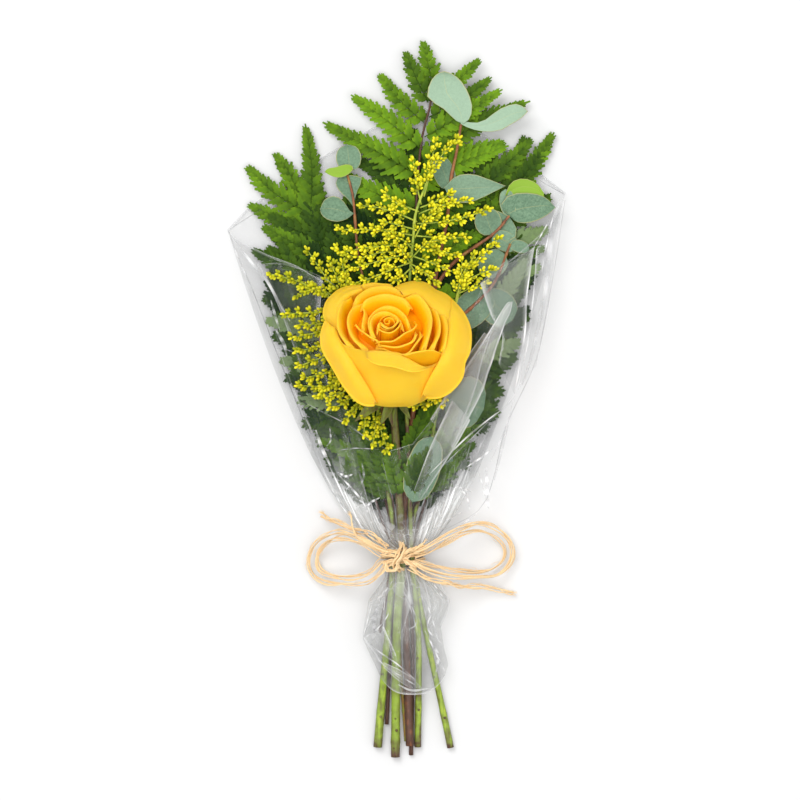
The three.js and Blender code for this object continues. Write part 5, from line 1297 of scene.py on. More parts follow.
# ---------------------------------------------------------------- fern
def lobe(mould, root, along, side, up, length, half_width, tone, pale, droop):
    """One pointed, toothed lobe of a leaflet, keeled along its rib."""
    middles, edges = [], {1: [], -1: []}
    for k in range(LOBE_TEETH + 1):
        s = k / LOBE_TEETH
        height = 0.07 * length * math.sin(math.pi * min(1, s * 0.8 + 0.1)) - droop * s * s
        centre = root + along * (length * s) + up * height
        middles.append(centre)
        half = half_width * lobe_width(s)
        for hand in (1, -1):
            edges[hand].append(centre + side * (hand * half * 0.86) - up * (0.2 * half))
            if k < LOBE_TEETH:
                reach = s + 0.95 / LOBE_TEETH
                wide = half_width * lobe_width(s + 0.45 / LOBE_TEETH)
                tip = root + along * (length * reach) + up * (height - 0.03 * length)
                edges[hand].append(tip + side * (hand * wide * 1.16) - up * (0.26 * wide))
    points = middles + edges[1] + edges[-1]
    faces = []
    offsets = {1: len(middles), -1: len(middles) + len(edges[1])}
    for k in range(LOBE_TEETH):
        for hand in (1, -1):
            notch = offsets[hand] + 2 * k
            ring = (k, k + 1, notch + 2, notch + 1, notch)
            faces.append(ring[::-1] if hand > 0 else ring)
    # Painted shade towards the rib: each lobe's paint is darker at its root and lighter towards its teeth and
    # tip.
    paint = [(tone * (0.55 + 0.7 * k / LOBE_TEETH), 1.0, pale) for k in range(len(middles))]
    paint += [(tone * min(1.25, 0.45 + 0.4 * k), 0.0, pale) for k in range(len(edges[1]))] * 2
    mould.add(points, faces, paint)


def lobe_width(share):
    """Widest near a third of the way, pointed at the end."""
    return max(0.02, min(1, 0.45 + 1.9 * share) * max(0, 1 - share) ** 0.78 * 1.2)


def leaflet(mould, root, tip, half_width, pale, level, rng, shade=0.0):
    """A leaflet cut into toothed lobes that lean towards its tip."""
    start = Vector((*root, level))
    end = Vector((*tip, level + rng.uniform(-0.3, 2.0)))
    span = end - start
    length = span.length
    forward = span.normalized()
    side = flat_side(forward)
    bow = rng.uniform(-0.06, 0.06) * length
    up = (Vector((0, 0, 1)) + side * rng.uniform(-0.3, 0.3)).normalized()
    # shade darkens the whole leaflet's paint: painted shade.
    tone = rng.uniform(0.3, 0.95) * (1 - shade)
    rib = [start + span * t + side * (bow * math.sin(math.pi * t))
           + Vector((0, 0, 1.2 * math.sin(math.pi * t)))
           for t in (k / RIB_STEPS for k in range(RIB_STEPS + 1))]
    tube(mould, [tuple(p) for p in rib], lambda s, turn: mix(0.4, 0.14, s), 5, RIB_STEPS,
         lambda s: (tone * 0.4, 0.8, pale))
    count = max(6, round(length / LOBE_PITCH))
    for k in range(count + 1):
        t = 0.04 + 0.86 * (1 - (1 - k / count) ** 1.4)
        pitch = 1.2 * length / count * max(0.4, (1 - k / count) ** 0.4)
        place = min(RIB_STEPS - 0.01, t * RIB_STEPS)
        i = int(place)
        centre = rib[i].lerp(rib[i + 1], place - i)
        ahead = (rib[i + 1] - rib[i]).normalized()
        across = flat_side(ahead)
        spread = half_width * min(1, 0.72 + 2.5 * t) * (1 - t) ** 0.8 + 0.5
        lean = math.radians(mix(ROOT_LEAN, TIP_LEAN, t))
        for hand in (1, -1):
            shift = ahead * (0.22 * pitch if hand > 0 else 0)
            out = (ahead * math.cos(lean) + across * (hand * math.sin(lean))).normalized()
            lobe_side = up.cross(out).normalized()
            reach = spread / math.sin(lean) ** 0.8 * rng.uniform(0.9, 1.1)
            wide = min(0.56 * pitch, reach * 0.4)
            roll = (up + lobe_side * rng.uniform(-0.35, 0.35)).normalized()
            lobe(mould, centre + shift, out, lobe_side, roll, reach, wide,
                 tone * rng.uniform(0.7, 1.3), pale, rng.uniform(0, 0.12) * reach)
    lobe(mould, rib[-3], (rib[-1] - rib[-3]).normalized(), side, up, length * 0.17, half_width * 0.17,
         tone, pale, 0)


def fill_leaflets(mould, name, rng):
    """Leaflets further down in the bunch, between the ones that reach its edge, painted darker as shade."""
    for root, tip in FERN_FILL.get(name, ()):
        level = rng.uniform(1.2, 3.4)
        leaflet(mould, root, tip, FILL_LEAFLET_HALF_WIDTH, 0, level, rng, shade=FILL_SHADE)
    for low, high, left, right, top in LEAF_BANDS.get(name, ()):
        rows = max(1, round((high - low) / FILL_PITCH))
        for j in range(rows):
            share = (j + 0.5) / rows
            y = mix(low, high, share)
            x = mix(left[0], left[1], share)
            while x < mix(right[0], right[1], share):
                lean = math.atan2(x - 1, y + 120) + rng.uniform(-0.75, 0.75)
                length = rng.uniform(*BAND_LEAFLET_LENGTHS)
                half = Vector((math.sin(lean), math.cos(lean))) * (length / 2)
                leaflet(mould, (x - half.x, y - half.y), (x + half.x, y + half.y),
                        BAND_LEAFLET_HALF_WIDTH, 0, rng.uniform(1.5, top), rng,
                        shade=rng.uniform(*BAND_SHADES))
                x += rng.uniform(0.7, 1.3) * FILL_PITCH


def make_ferns(settings):
    material = leaf_green_material(settings)
    stalk = stem_material(
        "fern_stalk", (settings.fern_deep, settings.stem_brown, settings.stem_brown))
    for index, (name, (level, route, radii, leaflets)) in enumerate(FRONDS.items()):
        rng = random.Random(FERN_SEED + index)
        mould = Mould()
        # The stalk's sides and underside carry painted shade.
        tube(mould, route, lambda s, turn: mix(radii[0], radii[1], s), 8, 60,
             lambda s: (0.45, 0, 0), slot=1, edge=0.2)
        fill_leaflets(mould, name, rng)
        for k, (root, tip, half_width, pale) in enumerate(leaflets):
            leaflet(mould, root, tip, half_width * LEAFLET_FULLNESS, pale * UNDERSIDE_SHARE,
                    level + (0.6 if k % 2 else -0.6), rng,
                    shade=FROND_SHADE.get(name, 0))
        for root, tip, height in NECK_LEAFLETS.get(name, ()):
            leaflet(mould, root, tip, BAND_LEAFLET_HALF_WIDTH, 0, height, rng, shade=NECK_SHADE)
        piece = mould.piece(name + "_leaves", [material, stalk])
        hand_in(piece, "fern", name)


# ---------------------------------------------------------------- eucalyptus
EUCALYPTUS_SEED = 70
LEAF_THICKNESS = 0.0004
ROUND_LEAF_STEPS = 12
# Where a broad leaf's points lie across it and along it.
ACROSS = (0, 0.035, 0.16, 0.34, 0.48, 0.5, 0.52, 0.66, 0.84, 0.965, 1)
ALONG = (0, 0.03, 0.1, 0.2, 0.32, 0.45, 0.58, 0.7, 0.8, 0.88, 0.94, 0.975, 1)


def broad_leaf(mould, left, right, base_height, tip_rise, cup, tone, lime):
    """A thin broad leaf between two edges, cupped across its rib, with a fine rim."""
    edges = [spaced(smooth_curve([(*p[:2], 0) for p in edge], 60), ALONG) for edge in (left, right)]
    rows = []
    for i, t in enumerate(ALONG):
        width = (edges[0][i] - edges[1][i]).length
        lift = base_height + tip_rise * t * t
        row = []
        for c in ACROSS:
            p = edges[0][i].lerp(edges[1][i], c)
            bowl = cup * width * (abs(2 * c - 1) ** 2 - 0.35)
            rib = -0.25 * math.exp(-((c - 0.5) / 0.06) ** 2) * min(1, width / 6)
            p.z = lift + bowl + rib + 0.35 * math.sin(5 * t + 3 * c + tone * 6)
            row.append(p)
        rows.append(row)
    last = len(ALONG) - 1

    def colour(i, j):
        edge = j in (0, len(ACROSS) - 1) or i == last
        across = abs(2 * ACROSS[j] - 1)
        return (tone, 0.75 if edge else 0.3 * (ACROSS[j] == 0.5), lime, 5.5 * ALONG[i] - 1.3 * across)

    sheet_of(mould, rows, colour)


def round_leaf(mould, base, tip, width, tilt, lime, rng):
    start, end = Vector(base), Vector(tip)
    span = end - start
    flat = Vector((span.x, span.y, 0))
    side = flat_side(flat)
    left, right = [], []
    for k in range(ROUND_LEAF_STEPS + 1):
        t = k / ROUND_LEAF_STEPS
        half = width / 2 * math.sqrt(max(0, 1 - (2 * t - 1) ** 2)) ** 0.85 * math.cos(math.radians(tilt))
        p = start + flat * t
        left.append(tuple(p + side * half))
        right.append(tuple(p - side * half))
    broad_leaf(mould, left, right, start.z, end.z - start.z, rng.choice((-0.05, 0.06)),
               0.3 * rng.random(), lime)


def make_eucalyptus(settings):
    leaf = eucalyptus_leaf_material(settings)
    bark = stem_material(
        "eucalyptus_stem", (settings.stem_green, settings.eucalyptus_bark, settings.stem_brown))
    for index, (name, (stems, leaves)) in enumerate(EUCALYPTUS.items()):
        rng = random.Random(EUCALYPTUS_SEED + index)
        mould = Mould()
        for base, tip, width, tilt, lime in leaves:
            round_leaf(mould, base, tip, width, tilt, lime, rng)
        for sprig, left, right, height, rise, lime in TRACED_LEAVES:
            if sprig == name:
                # Leaves further up the bunch get more of the pale bloom colour.
                paleness = smoothstep(left[len(left) // 2][1], 112, 158) * 0.8 + 0.2 * rng.random()
                broad_leaf(mould, left, right, height, rise, 0.05, paleness, lime)
        piece = mould.piece(name + "_foliage", [leaf, bark])
        modify(piece, "SOLIDIFY", thickness=LEAF_THICKNESS, offset=0)
        stalks = Mould()
        for k, (route, radii) in enumerate(stems):
            lower = 0.95 if index == 0 and k == 0 else 0.12

            def tone(share, lower=lower, k=k):
                if k:
                    return (0.5, 0, 0)
                return (mix(lower, 0.5, smoothstep(share, 0.25, 0.45)), 0, 0)

            # The stems' sides and underside carry painted shade.
            tube(stalks, route, lambda s, turn: mix(radii[0], radii[1], s)
                 + 0.25 * math.exp(-((s * 6 % 1 - 0.5) / 0.06) ** 2), 8, 60, tone, edge=0.15)
        stem = stalks.piece(name + "_stems", [bark])
        joined = join_pieces([piece, stem], name + "_foliage")
        hand_in(joined, "eucalyptus", name)


# ---------------------------------------------------------------- goldenrod
def bud_shape():
    """A drop-shaped bud, modelled once from a small sphere: its points along +Z, and its faces.

    A new sphere's faces come in another order each time, so they are sorted."""
    bpy.ops.object.select_all(action="DESELECT")
    bpy.ops.mesh.primitive_uv_sphere_add(segments=6, ring_count=4, radius=1)
    ball = bpy.context.object
    points = []
    for vertex in ball.data.vertices:
        p = vertex.co
        share = (p.z + 1) / 2
        waist = mix(0.6, 1.0, smoothstep(share, 0, 0.6))
        points.append(Vector((p.x * waist, p.y * waist, share)))
    faces = sorted(tuple(polygon.vertices) for polygon in ball.data.polygons)
    bpy.data.objects.remove(ball)
    return points, faces


def put_bud(mould, shape, root, way, length, radius, tone, slot=0):
    turn = way.to_track_quat("Z", "Y")
    points, faces = shape
    placed = [root + turn @ Vector((p.x * radius, p.y * radius, p.z * length)) for p in points]
    mould.add(placed, faces, [(tone, p.z, 0) for p in points], slot)


def side_frame(ahead):
    across = flat_side(ahead)
    above = across.cross(ahead)
    if above.z < 0:
        above.negate()
    return across, above


def bud_cluster(mould, shape, root, way, length, rng, bud_length, green):
    """A short side twig with its handful of buds."""
    end = root + way * length
    tube(mould, [tuple(root), tuple(root.lerp(end, 0.5)), tuple(end)], lambda s, turn: 0.2, 3, 2,
         lambda s: (0.25, 0, 0), slot=1)
    across, above = side_frame(way)
    count = max(2, round(length))
    for i in range(count):
        t = 0.25 + 0.75 * (i + 0.5) / count
        turn = 2.4 * i + rng.uniform(0, 1.2)
        out = across * math.cos(turn) + above * (0.8 * math.sin(turn) + 0.2)
        size = rng.uniform(0.55, 1.12)
        lean = (way * 1.5 + out).normalized()
        # green is painted shade: it pulls each bud's paint towards the dark foot colour.
        put_bud(mould, shape, root + way * (length * t) + lean * 0.3, lean, bud_length * size,
                bud_length * BUD_SLIMNESS * size, min(1, green + rng.random() ** 2))
    put_bud(mould, shape, end, way, bud_length, bud_length * BUD_SLIMNESS, min(1, green + rng.random() ** 2))


def plume(mould, shape, route, bare, rng, settings, green):
    """A twig with short side twigs that grow shorter towards its tip."""
    line = smooth_curve(route, TWIG_STEPS + 1)
    length = length_of(line)
    tube(mould, [tuple(p) for p in line[::3]], lambda s, turn: mix(0.5, 0.25, s), 5, 12,
         lambda s: (0.1, 0, 0), slot=1)
    count = max(4, int(length * (1 - bare) / SIDE_TWIG_PITCH))
    bud_length = settings.bud_length / MM
    for i in range(count):
        t = bare + (1 - bare) * (i + 0.5 * rng.random()) / count
        k = min(TWIG_STEPS - 1, int(t * TWIG_STEPS))
        centre = line[k].lerp(line[k + 1], t * TWIG_STEPS - k)
        ahead = (line[k + 1] - line[k]).normalized()
        across, above = side_frame(ahead)
        turn = 2.2 * i + rng.uniform(-0.4, 0.4)
        out = across * math.cos(turn) + above * (0.6 * math.sin(turn) + 0.25)
        way = (ahead * rng.uniform(1.1, 1.7) + out).normalized()
        bud_cluster(mould, shape, centre, way, mix(*CLUSTER_LENGTHS, t) * rng.uniform(0.6, 1.15), rng,
                    bud_length, green)
    put_bud(mould, shape, line[-1], (line[-1] - line[-2]).normalized(), bud_length,
            bud_length * BUD_SLIMNESS, 0.1)


def make_goldenrod(settings):
    buds = bud_material(settings)
    twigs = stem_material(
        "goldenrod_twig", (settings.goldenrod_twig, settings.stem_green, settings.stem_brown))
    shape = bud_shape()
    for index, (name, (route, radii, branches)) in enumerate(GOLDENROD.items()):
        rng = random.Random(GOLDENROD_SEED + index)
        mould = Mould()
        # Painted: the stems darker in a band from the tie up into the sleeve (painted shade), a brown cut
        # end, and painted shade on their sides.
        tube(mould, route, lambda s, turn: mix(radii[0], radii[1], s ** 0.8)
             + 0.22 * math.exp(-((s * 7 % 1 - 0.5) / 0.05) ** 2), 10, 80,
             lambda s: (mix(0.45, 0.12, smoothstep(s, 0.75, 0.95)) + 0.4 * (1 - smoothstep(s, 0.003, 0.025))
                        + 0.3 * smoothstep(s, 0.34, 0.42) * (1 - smoothstep(s, 0.55, 0.65)), 0, 0),
             slot=1, edge=0.3)
        leaf_scars(mould, route, radii[0], ((0.07, 1.7), (0.16, 1.2)), slot=1)
        for branch in branches:
            plume(mould, shape, branch, BARE_SHARE, rng, settings, SPRAY_SHADE.get(name, USUAL_SHADE))
        piece = mould.piece(name + "_buds", [buds, twigs])
        hand_in(piece, "goldenrod", name)


# ---------------------------------------------------------------- film
def ring_angle(u):
    return -math.pi / 2 + 2 * math.pi * u


def neck_point(u, y):
    angle = ring_angle(u)
    return Vector((TIE_CENTRE[0] + NECK_HALF_WIDTH * math.cos(angle), y,
                   TIE_CENTRE[1] + NECK_HALF_HEIGHT * math.sin(angle)))


def mouth_rim():
    """The mouth's edge, finely spaced, kept sharp at its corners."""
    count = len(MOUTH_EDGE)
    rim = []
    for k in range(FILM_STATIONS):
        place = k / FILM_STATIONS * count
        i = int(place)
        rim.append(Vector(MOUTH_EDGE[i % count]).lerp(Vector(MOUTH_EDGE[(i + 1) % count]), place - i))
    return rim


def crumple(x, y, seed, bend=0.5):
    """Flat facets with sharp ridges between them, from -1 to 1."""
    value, weight = 0.0, 0.0
    for k, size in enumerate(CRUMPLE_SIZES):
        rng = random.Random(seed * 7919 + k)
        for _ in range(2):
            angle = rng.uniform(0, math.pi)
            shift = rng.uniform(0, 10)
            wave = (x * math.cos(angle) + 0.5 * y * math.sin(angle)) / size + shift
            wave += bend * math.sin(0.13 * x + 0.08 * y + shift)
            value += (abs((wave % 2) - 1) * 2 - 1) / (k + 1)
            weight += 1 / (k + 1)
    return value / weight


def cone_point(k, rim, along):
    neck = neck_point(k / FILM_STATIONS, TIE_TOP_Y)
    settle = smoothstep(along, 0, 0.17)
    back = smoothstep(rim.z, 0.5, 8)
    front = smoothstep(rim.z, 9, 16)
    fade = math.sin(math.pi * min(1, along * 1.15))
    x = mix(neck.x, rim.x, along ** SHOULDER_POWER)
    y = mix(neck.y, rim.y, along)
    low = mix(neck.z, rim.z, settle)
    high = mix(neck.z, rim.z, along ** 0.8) + front * fade * FRONT_DOME
    return Vector((x, y, mix(low, high, back))), back


def skirt_place(u, down):
    rows = [(0, TIE_CENTRE[0] - NECK_HALF_WIDTH, TIE_CENTRE[0] + NECK_HALF_WIDTH,
             TIE_CENTRE[1] + NECK_HALF_HEIGHT), *SKIRT_ROWS]
    i = 0
    while i < len(rows) - 2 and down > rows[i + 1][0]:
        i += 1
    a, b = rows[i], rows[i + 1]
    t = (down - a[0]) / (b[0] - a[0])
    left, right, top = (mix(a[n], b[n], t) for n in (1, 2, 3))
    angle = ring_angle(u)
    x = (left + right) / 2 + (right - left) / 2 * math.cos(angle)
    rise = SKIRT_CORNER_RISE * abs(math.cos(angle)) ** 3 * down ** 2
    y = mix(TIE_BOTTOM_Y, SKIRT_BOTTOM_Y, down) + rise
    bottom = (TIE_CENTRE[1] - NECK_HALF_HEIGHT) * (1 - smoothstep(down, 0.1, 0.27))
    z = mix(bottom, top, (1 + math.sin(angle)) / 2)
    return Vector((x, y, z)), smoothstep(math.sin(angle), 0, 0.5)


def film_folds():
    """Folds and loose edges that stand a little off the front, as traced lines and flaps."""
    for line, width, bright, veil in FOLD_LINES:
        middle = [p + Vector((0, 0, FOLD_STANDOFF)) for p in smooth_curve(line, FOLD_POINTS)]
        strip = []
        for i, centre in enumerate(middle):
            across = flat_side(heading(middle, i))
            half = width / 2 * (0.25 + math.sin(math.pi * (i + 1) / (FOLD_POINTS + 1)))
            strip.append([centre - across * half, centre + Vector((0, 0, 0.3 * width)),
                          centre + across * half])
        # Painted highlight along each fold line, brighter and dimmer in turn.
        yield strip, [[(bright * (0.7 + 0.3 * math.sin(0.8 * i + 9 * bright)), 0.0, veil)] * 3
                      for i in range(FOLD_POINTS)], 0 if bright else 1
    for left, right, veil in FILM_FLAPS:
        edges = [smooth_curve(edge, FOLD_POINTS) for edge in (left, right)]
        last = FLAP_COLUMNS - 1
        strip = [[edges[0][i].lerp(edges[1][i], c / last) + Vector((0, 0, 0.8 * math.sin(math.pi * c / last)))
                  for c in range(FLAP_COLUMNS)] for i in range(FOLD_POINTS)]
        # A painted highlight along each flap's two edges, and its painted haze fading along it.
        yield strip, [[(0.0 if 0 < c < last else 0.5, 0.0, veil * (1 - i / 30))
                       for c in range(FLAP_COLUMNS)] for i in range(FOLD_POINTS)], 0


def film_piece(settings):
    """The whole wrap as one surface: skirt, neck and cone."""
    mould = Mould()
    rim = mouth_rim()
    rows, marks, places = [], [], []

    def keep(row, mark, v):
        rows.append(row)
        marks.append(mark)
        spin = SKIRT_MAP if v < 0 else 1
        places.extend((k / FILM_STATIONS * spin, v, 0) for k in range(FILM_STATIONS))

    for i in range(SKIRT_STEPS, 0, -1):
        down = i / SKIRT_STEPS
        row = []
        for k in range(FILM_STATIONS):
            u = k / FILM_STATIONS
            p, top = skirt_place(u, down)
            fold = math.sin(2 * math.pi * u * SKIRT_PLEATS + 3 * math.sin(5 * u)) * 1.1 * (1 - down) ** 3
            p.z = max(0.05, p.z + (fold + 2.6 * crumple(p.x, p.y, 3, 0.1) * min(1, 3 * down)) * top)
            p.x += 0.5 * crumple(p.y, 2 * p.z, 4) * down
            row.append(p)
        # Painted: a highlight line along the skirt's cut edge, and a pale haze of painted reflection, thicker
        # near the tie.
        edge = 0.6 if i == SKIRT_STEPS else 0
        veil = mix(0.34, 0.1, smoothstep(down, 0.1, 0.75))
        keep(row, [(edge, mix(0.6, 0.16, smoothstep(down, 0, 0.4)), veil)] * FILM_STATIONS, -0.55 * down)
    for y in (TIE_BOTTOM_Y, (TIE_TOP_Y + TIE_BOTTOM_Y) / 2):
        keep([neck_point(k / FILM_STATIONS, y) for k in range(FILM_STATIONS)],
             [(0, 0.8, 0)] * FILM_STATIONS, 0)
    for i in range(CONE_ROWS + 1):
        along = (i / CONE_ROWS) ** 1.25
        row = []
        for k in range(FILM_STATIONS):
            p, back = cone_point(k, rim[k], along)
            u = k / FILM_STATIONS
            gather = math.exp(-along / 0.16)
            pleat = math.sin(2 * math.pi * u * CONE_PLEATS + 2 * math.sin(9 * u)) * 1.2 * gather
            facets = crumple(p.x, p.y, 1) * mix(2.4, 0.8, along)
            p.z = max(0.05, p.z + back * (pleat * smoothstep(along, 0, 0.03)
                                          + facets * smoothstep(along, 0.02, 0.2)))
            row.append(p)
        # Painted: a highlight line along the mouth's edge, and a pale haze of painted reflection near the
        # tie, thicker at the sides where the film is seen edge on.
        edge = 0.5 if i == CONE_ROWS else 0
        gathered = mix(1.0, 0.06, smoothstep(along, 0.12, 0.5))
        veil = 0.58 * (1 - smoothstep(along, 0, 0.34))
        keep(row, [(edge, gathered, veil * mix(0.6, 1, abs(math.cos(ring_angle(k / FILM_STATIONS))) ** 2))
                   for k in range(FILM_STATIONS)], along)
    sheet_of(mould, rows, lambda i, j: marks[i][j], closed=True)
    for strip, paint, slot in film_folds():
        sheet_of(mould, strip, lambda i, j: paint[i][j], slot=slot)
        places.extend(PLAIN_MAP_PLACE for row in strip for _ in row)
    piece = mould.piece("film_wrap", [film_material(settings), film_edge_material(settings)],
                        smooth_angle=25)
    layer = piece.data.attributes.new("film_map", "FLOAT_VECTOR", "POINT")
    layer.data.foreach_set("vector", [x for place in places for x in place])
    return piece


def make_film(settings):
    piece = film_piece(settings)
    hand_in(piece, "film", "film_sleeve")


# ---------------------------------------------------------------- raffia
def raffia_ply(mould, line, spread, phase, radius, rng):
    """One thin strip that wanders beside a strand's middle line, flat and a little rough."""
    steps = len(line) - 1
    sides = 6
    points, colours = [], []
    wobble = [rng.uniform(0, 6.28) for _ in range(6)]
    tone = rng.uniform(0, 0.65)
    for i, centre, side, across in carried_sides(line):
        share = i / steps
        angle = phase + 1.5 * math.sin(5 * share + wobble[0]) + 1.2 * math.sin(11 * share + wobble[1])
        near = spread * (0.75 + 0.3 * math.sin(8 * share + wobble[2])
                         + 0.2 * math.sin(19 * share + wobble[3]))
        middle = centre + side * (near * math.cos(angle)) + across * (near * math.sin(angle))
        twist = 3 * math.sin(4 * share + wobble[4])
        for k in range(sides):
            turn = 2 * math.pi * k / sides
            rough = 1 + 0.1 * math.sin(2 * turn + 60 * share) + 0.08 * math.sin(i * 1.7 + wobble[5] + k)
            reach = radius * rough * (1.0 + 0.3 * math.cos(2 * (turn - twist)))
            points.append(middle + side * (reach * math.cos(turn)) + across * (reach * math.sin(turn)))
            # Every other point round a ply painted lighter: partly the fibres' own streaks, partly painted
            # highlight on them and shade between.
            colours.append((min(1, tone + 0.35 * (k % 2) + 0.2 * rng.random()), k / sides, 0))
    faces = woven_faces(steps + 1, sides)
    faces.append(tuple(range(sides))[::-1])
    faces.append(tuple(steps * sides + k for k in range(sides)))
    mould.add(points, faces, colours)


def strand(mould, route, rng, plies=5, spread=1.45, radius=0.33):
    rough = smooth_curve(route, 30)
    length = length_of(rough)
    line = smooth_curve(route, max(8, int(length / STRAND_SPACING)))
    for k in range(plies):
        raffia_ply(mould, line, spread, 2 * math.pi * k / plies, radius * rng.uniform(0.75, 1.2), rng)
    return line, length


def stray_fibres(mould, line, rng, count):
    """Hair-fine fibres that curl off a strand and back."""
    for _ in range(count):
        i = rng.randrange(2, len(line) - 6)
        ahead = (line[i + 3] - line[i]).normalized()
        side = flat_side(ahead) * rng.choice((-1, 1))
        reach = rng.uniform(1.4, 2.4)
        tube(mould, [tuple(line[i] + side * 0.9), tuple(line[i + 2] + side * reach + Vector((0, 0, 0.6))),
                     tuple(line[i + 5] + side * (reach * rng.uniform(0.5, 1.1)))],
             lambda s, turn: 0.1, 3, 6, lambda s: (0.3, 0.2, 0))


def frays(mould, end, way, rng, count, reach):
    """Fine fibres that stand off a strand's end."""
    for _ in range(count):
        aim = way + Vector((rng.uniform(-0.7, 0.7), rng.uniform(-0.7, 0.7), rng.uniform(-0.2, 0.5)))
        aim = aim.normalized()
        mid = end + aim * (reach * 0.5) + Vector((rng.uniform(-0.3, 0.3), rng.uniform(-0.3, 0.3), 0))
        tube(mould, [tuple(end - way * 0.8), tuple(mid), tuple(end + aim * reach)],
             lambda s, turn: mix(0.22, 0.07, s), 4, 5, lambda s: (0.4, 0.2, 0))


def make_raffia_turns(settings):
    """The turns round the neck and the knot in front of them."""
    material = bpy.data.materials.get("raffia_strand") or raffia_material(settings)
    rng = random.Random(KNOT_SEED)
    mould = Mould()
    for ring in range(NECK_TURNS):
        y = TIE_TOP_Y - 2.2 - TURN_PITCH * ring
        route = []
        for k in range(TURN_STEPS + 1):
            angle = 2 * math.pi * k / TURN_STEPS
            grow = 1.1 + 0.25 * (ring % 2)
            route.append((TIE_CENTRE[0] + (NECK_HALF_WIDTH + grow) * math.cos(angle),
                          y + 0.9 * math.sin(angle + ring),
                          TIE_CENTRE[1] + (NECK_HALF_HEIGHT + grow) * math.sin(angle)))
        strand(mould, route, rng, spread=0.8)
    for route in KNOT:
        strand(mould, route, rng, plies=3, spread=0.85, radius=0.46)
    for route in LOOSE_ENDS:
        line, _ = strand(mould, route, rng, plies=2, spread=0.5, radius=0.4)
        frays(mould, line[-1], (line[-1] - line[-3]).normalized(), rng, 5, 2.2)
    piece = mould.piece("raffia_turns", [material])
    hand_in(piece, "raffia", "raffia_band")


def make_raffia_bow(settings):
    material = raffia_material(settings)
    for index, (name, route) in enumerate(RAFFIA.items()):
        rng = random.Random(BOW_SEED + index)
        mould = Mould()
        line, length = strand(mould, route, rng)
        tail = "tail" in name
        if tail:
            frays(mould, line[-1], (line[-1] - line[-3]).normalized(), rng, 6, 2.4)
        stray_fibres(mould, line, rng, 4)
        piece = mould.piece(name + "_strand", [material])
        hand_in(piece, "raffia", name)
        [x * MM for x in route[0]]
        [[x * MM for x in p] for p in line]


# ---------------------------------------------------------------- stage
FLOOR_SIZE = 6
FLOOR_DROP = 0.0004
FLOOR_TONES = (0.66, 0.675)
# Each soft lamp: place, share of the key power and size.
LAMPS = {
    "key_light": ((-0.7, 0.9, 2.0), 1, 1.2),
    "front_light": ((0.15, -0.3, 2.4), 0.95, 1.4),
    "fill_light": ((1.2, -0.6, 1.4), 0.2, 2.0),
}
SENSOR_WIDTH = 36
FACE_HEIGHT = 0.012


def make_stage(settings):
    bpy.ops.object.select_all(action="DESELECT")
    bpy.ops.mesh.primitive_plane_add(size=FLOOR_SIZE, location=(0, 0, -FLOOR_DROP))
    floor = bpy.context.object
    floor.name = "floor"
    material, tree, shader = new_material("pale_floor")
    clouds = mottle(tree, 3.0, 60.0, 0.2)
    colour = ramp(tree, clouds["Clouds"], [(k, (tone,) * 3) for k, tone in enumerate(FLOOR_TONES)])
    tree.links.new(colour, shader.inputs["Base Color"])
    surface(shader, Roughness=0.9)
    floor.data.materials.append(material)

    world = bpy.data.worlds.new("studio")
    world.use_nodes = True
    surface(world.node_tree.nodes["Background"], Color=(1.0, 1.0, 1.0, 1), Strength=settings.sky_strength)
    bpy.context.scene.world = world
    bpy.context.scene.view_settings.view_transform = "Standard"

    for name, (place, share, size) in LAMPS.items():
        bpy.ops.object.light_add(type="AREA", location=place)
        lamp = bpy.context.object
        lamp.name = name
        lamp.data.energy = settings.key_power * share
        lamp.data.size = size
        lamp.rotation_euler = (-Vector(place)).to_track_quat("-Z", "Y").to_euler()

    bpy.ops.object.camera_add(location=(0, 0, settings.camera_height), rotation=(0, 0, 0))
    camera = bpy.context.object
    camera.name = "photo_camera"
    camera.data.sensor_width = SENSOR_WIDTH
    camera.data.lens = SENSOR_WIDTH * (settings.camera_height - FACE_HEIGHT) / settings.view_width
    camera.data.clip_end = 20
    bpy.context.scene.camera = camera


# ---------------------------------------------------------------- the add-on
def colour_property(name, description, default):
    return bpy.props.FloatVectorProperty(
        name=name, description=description, subtype="COLOR", size=3, min=0, max=1, default=default)


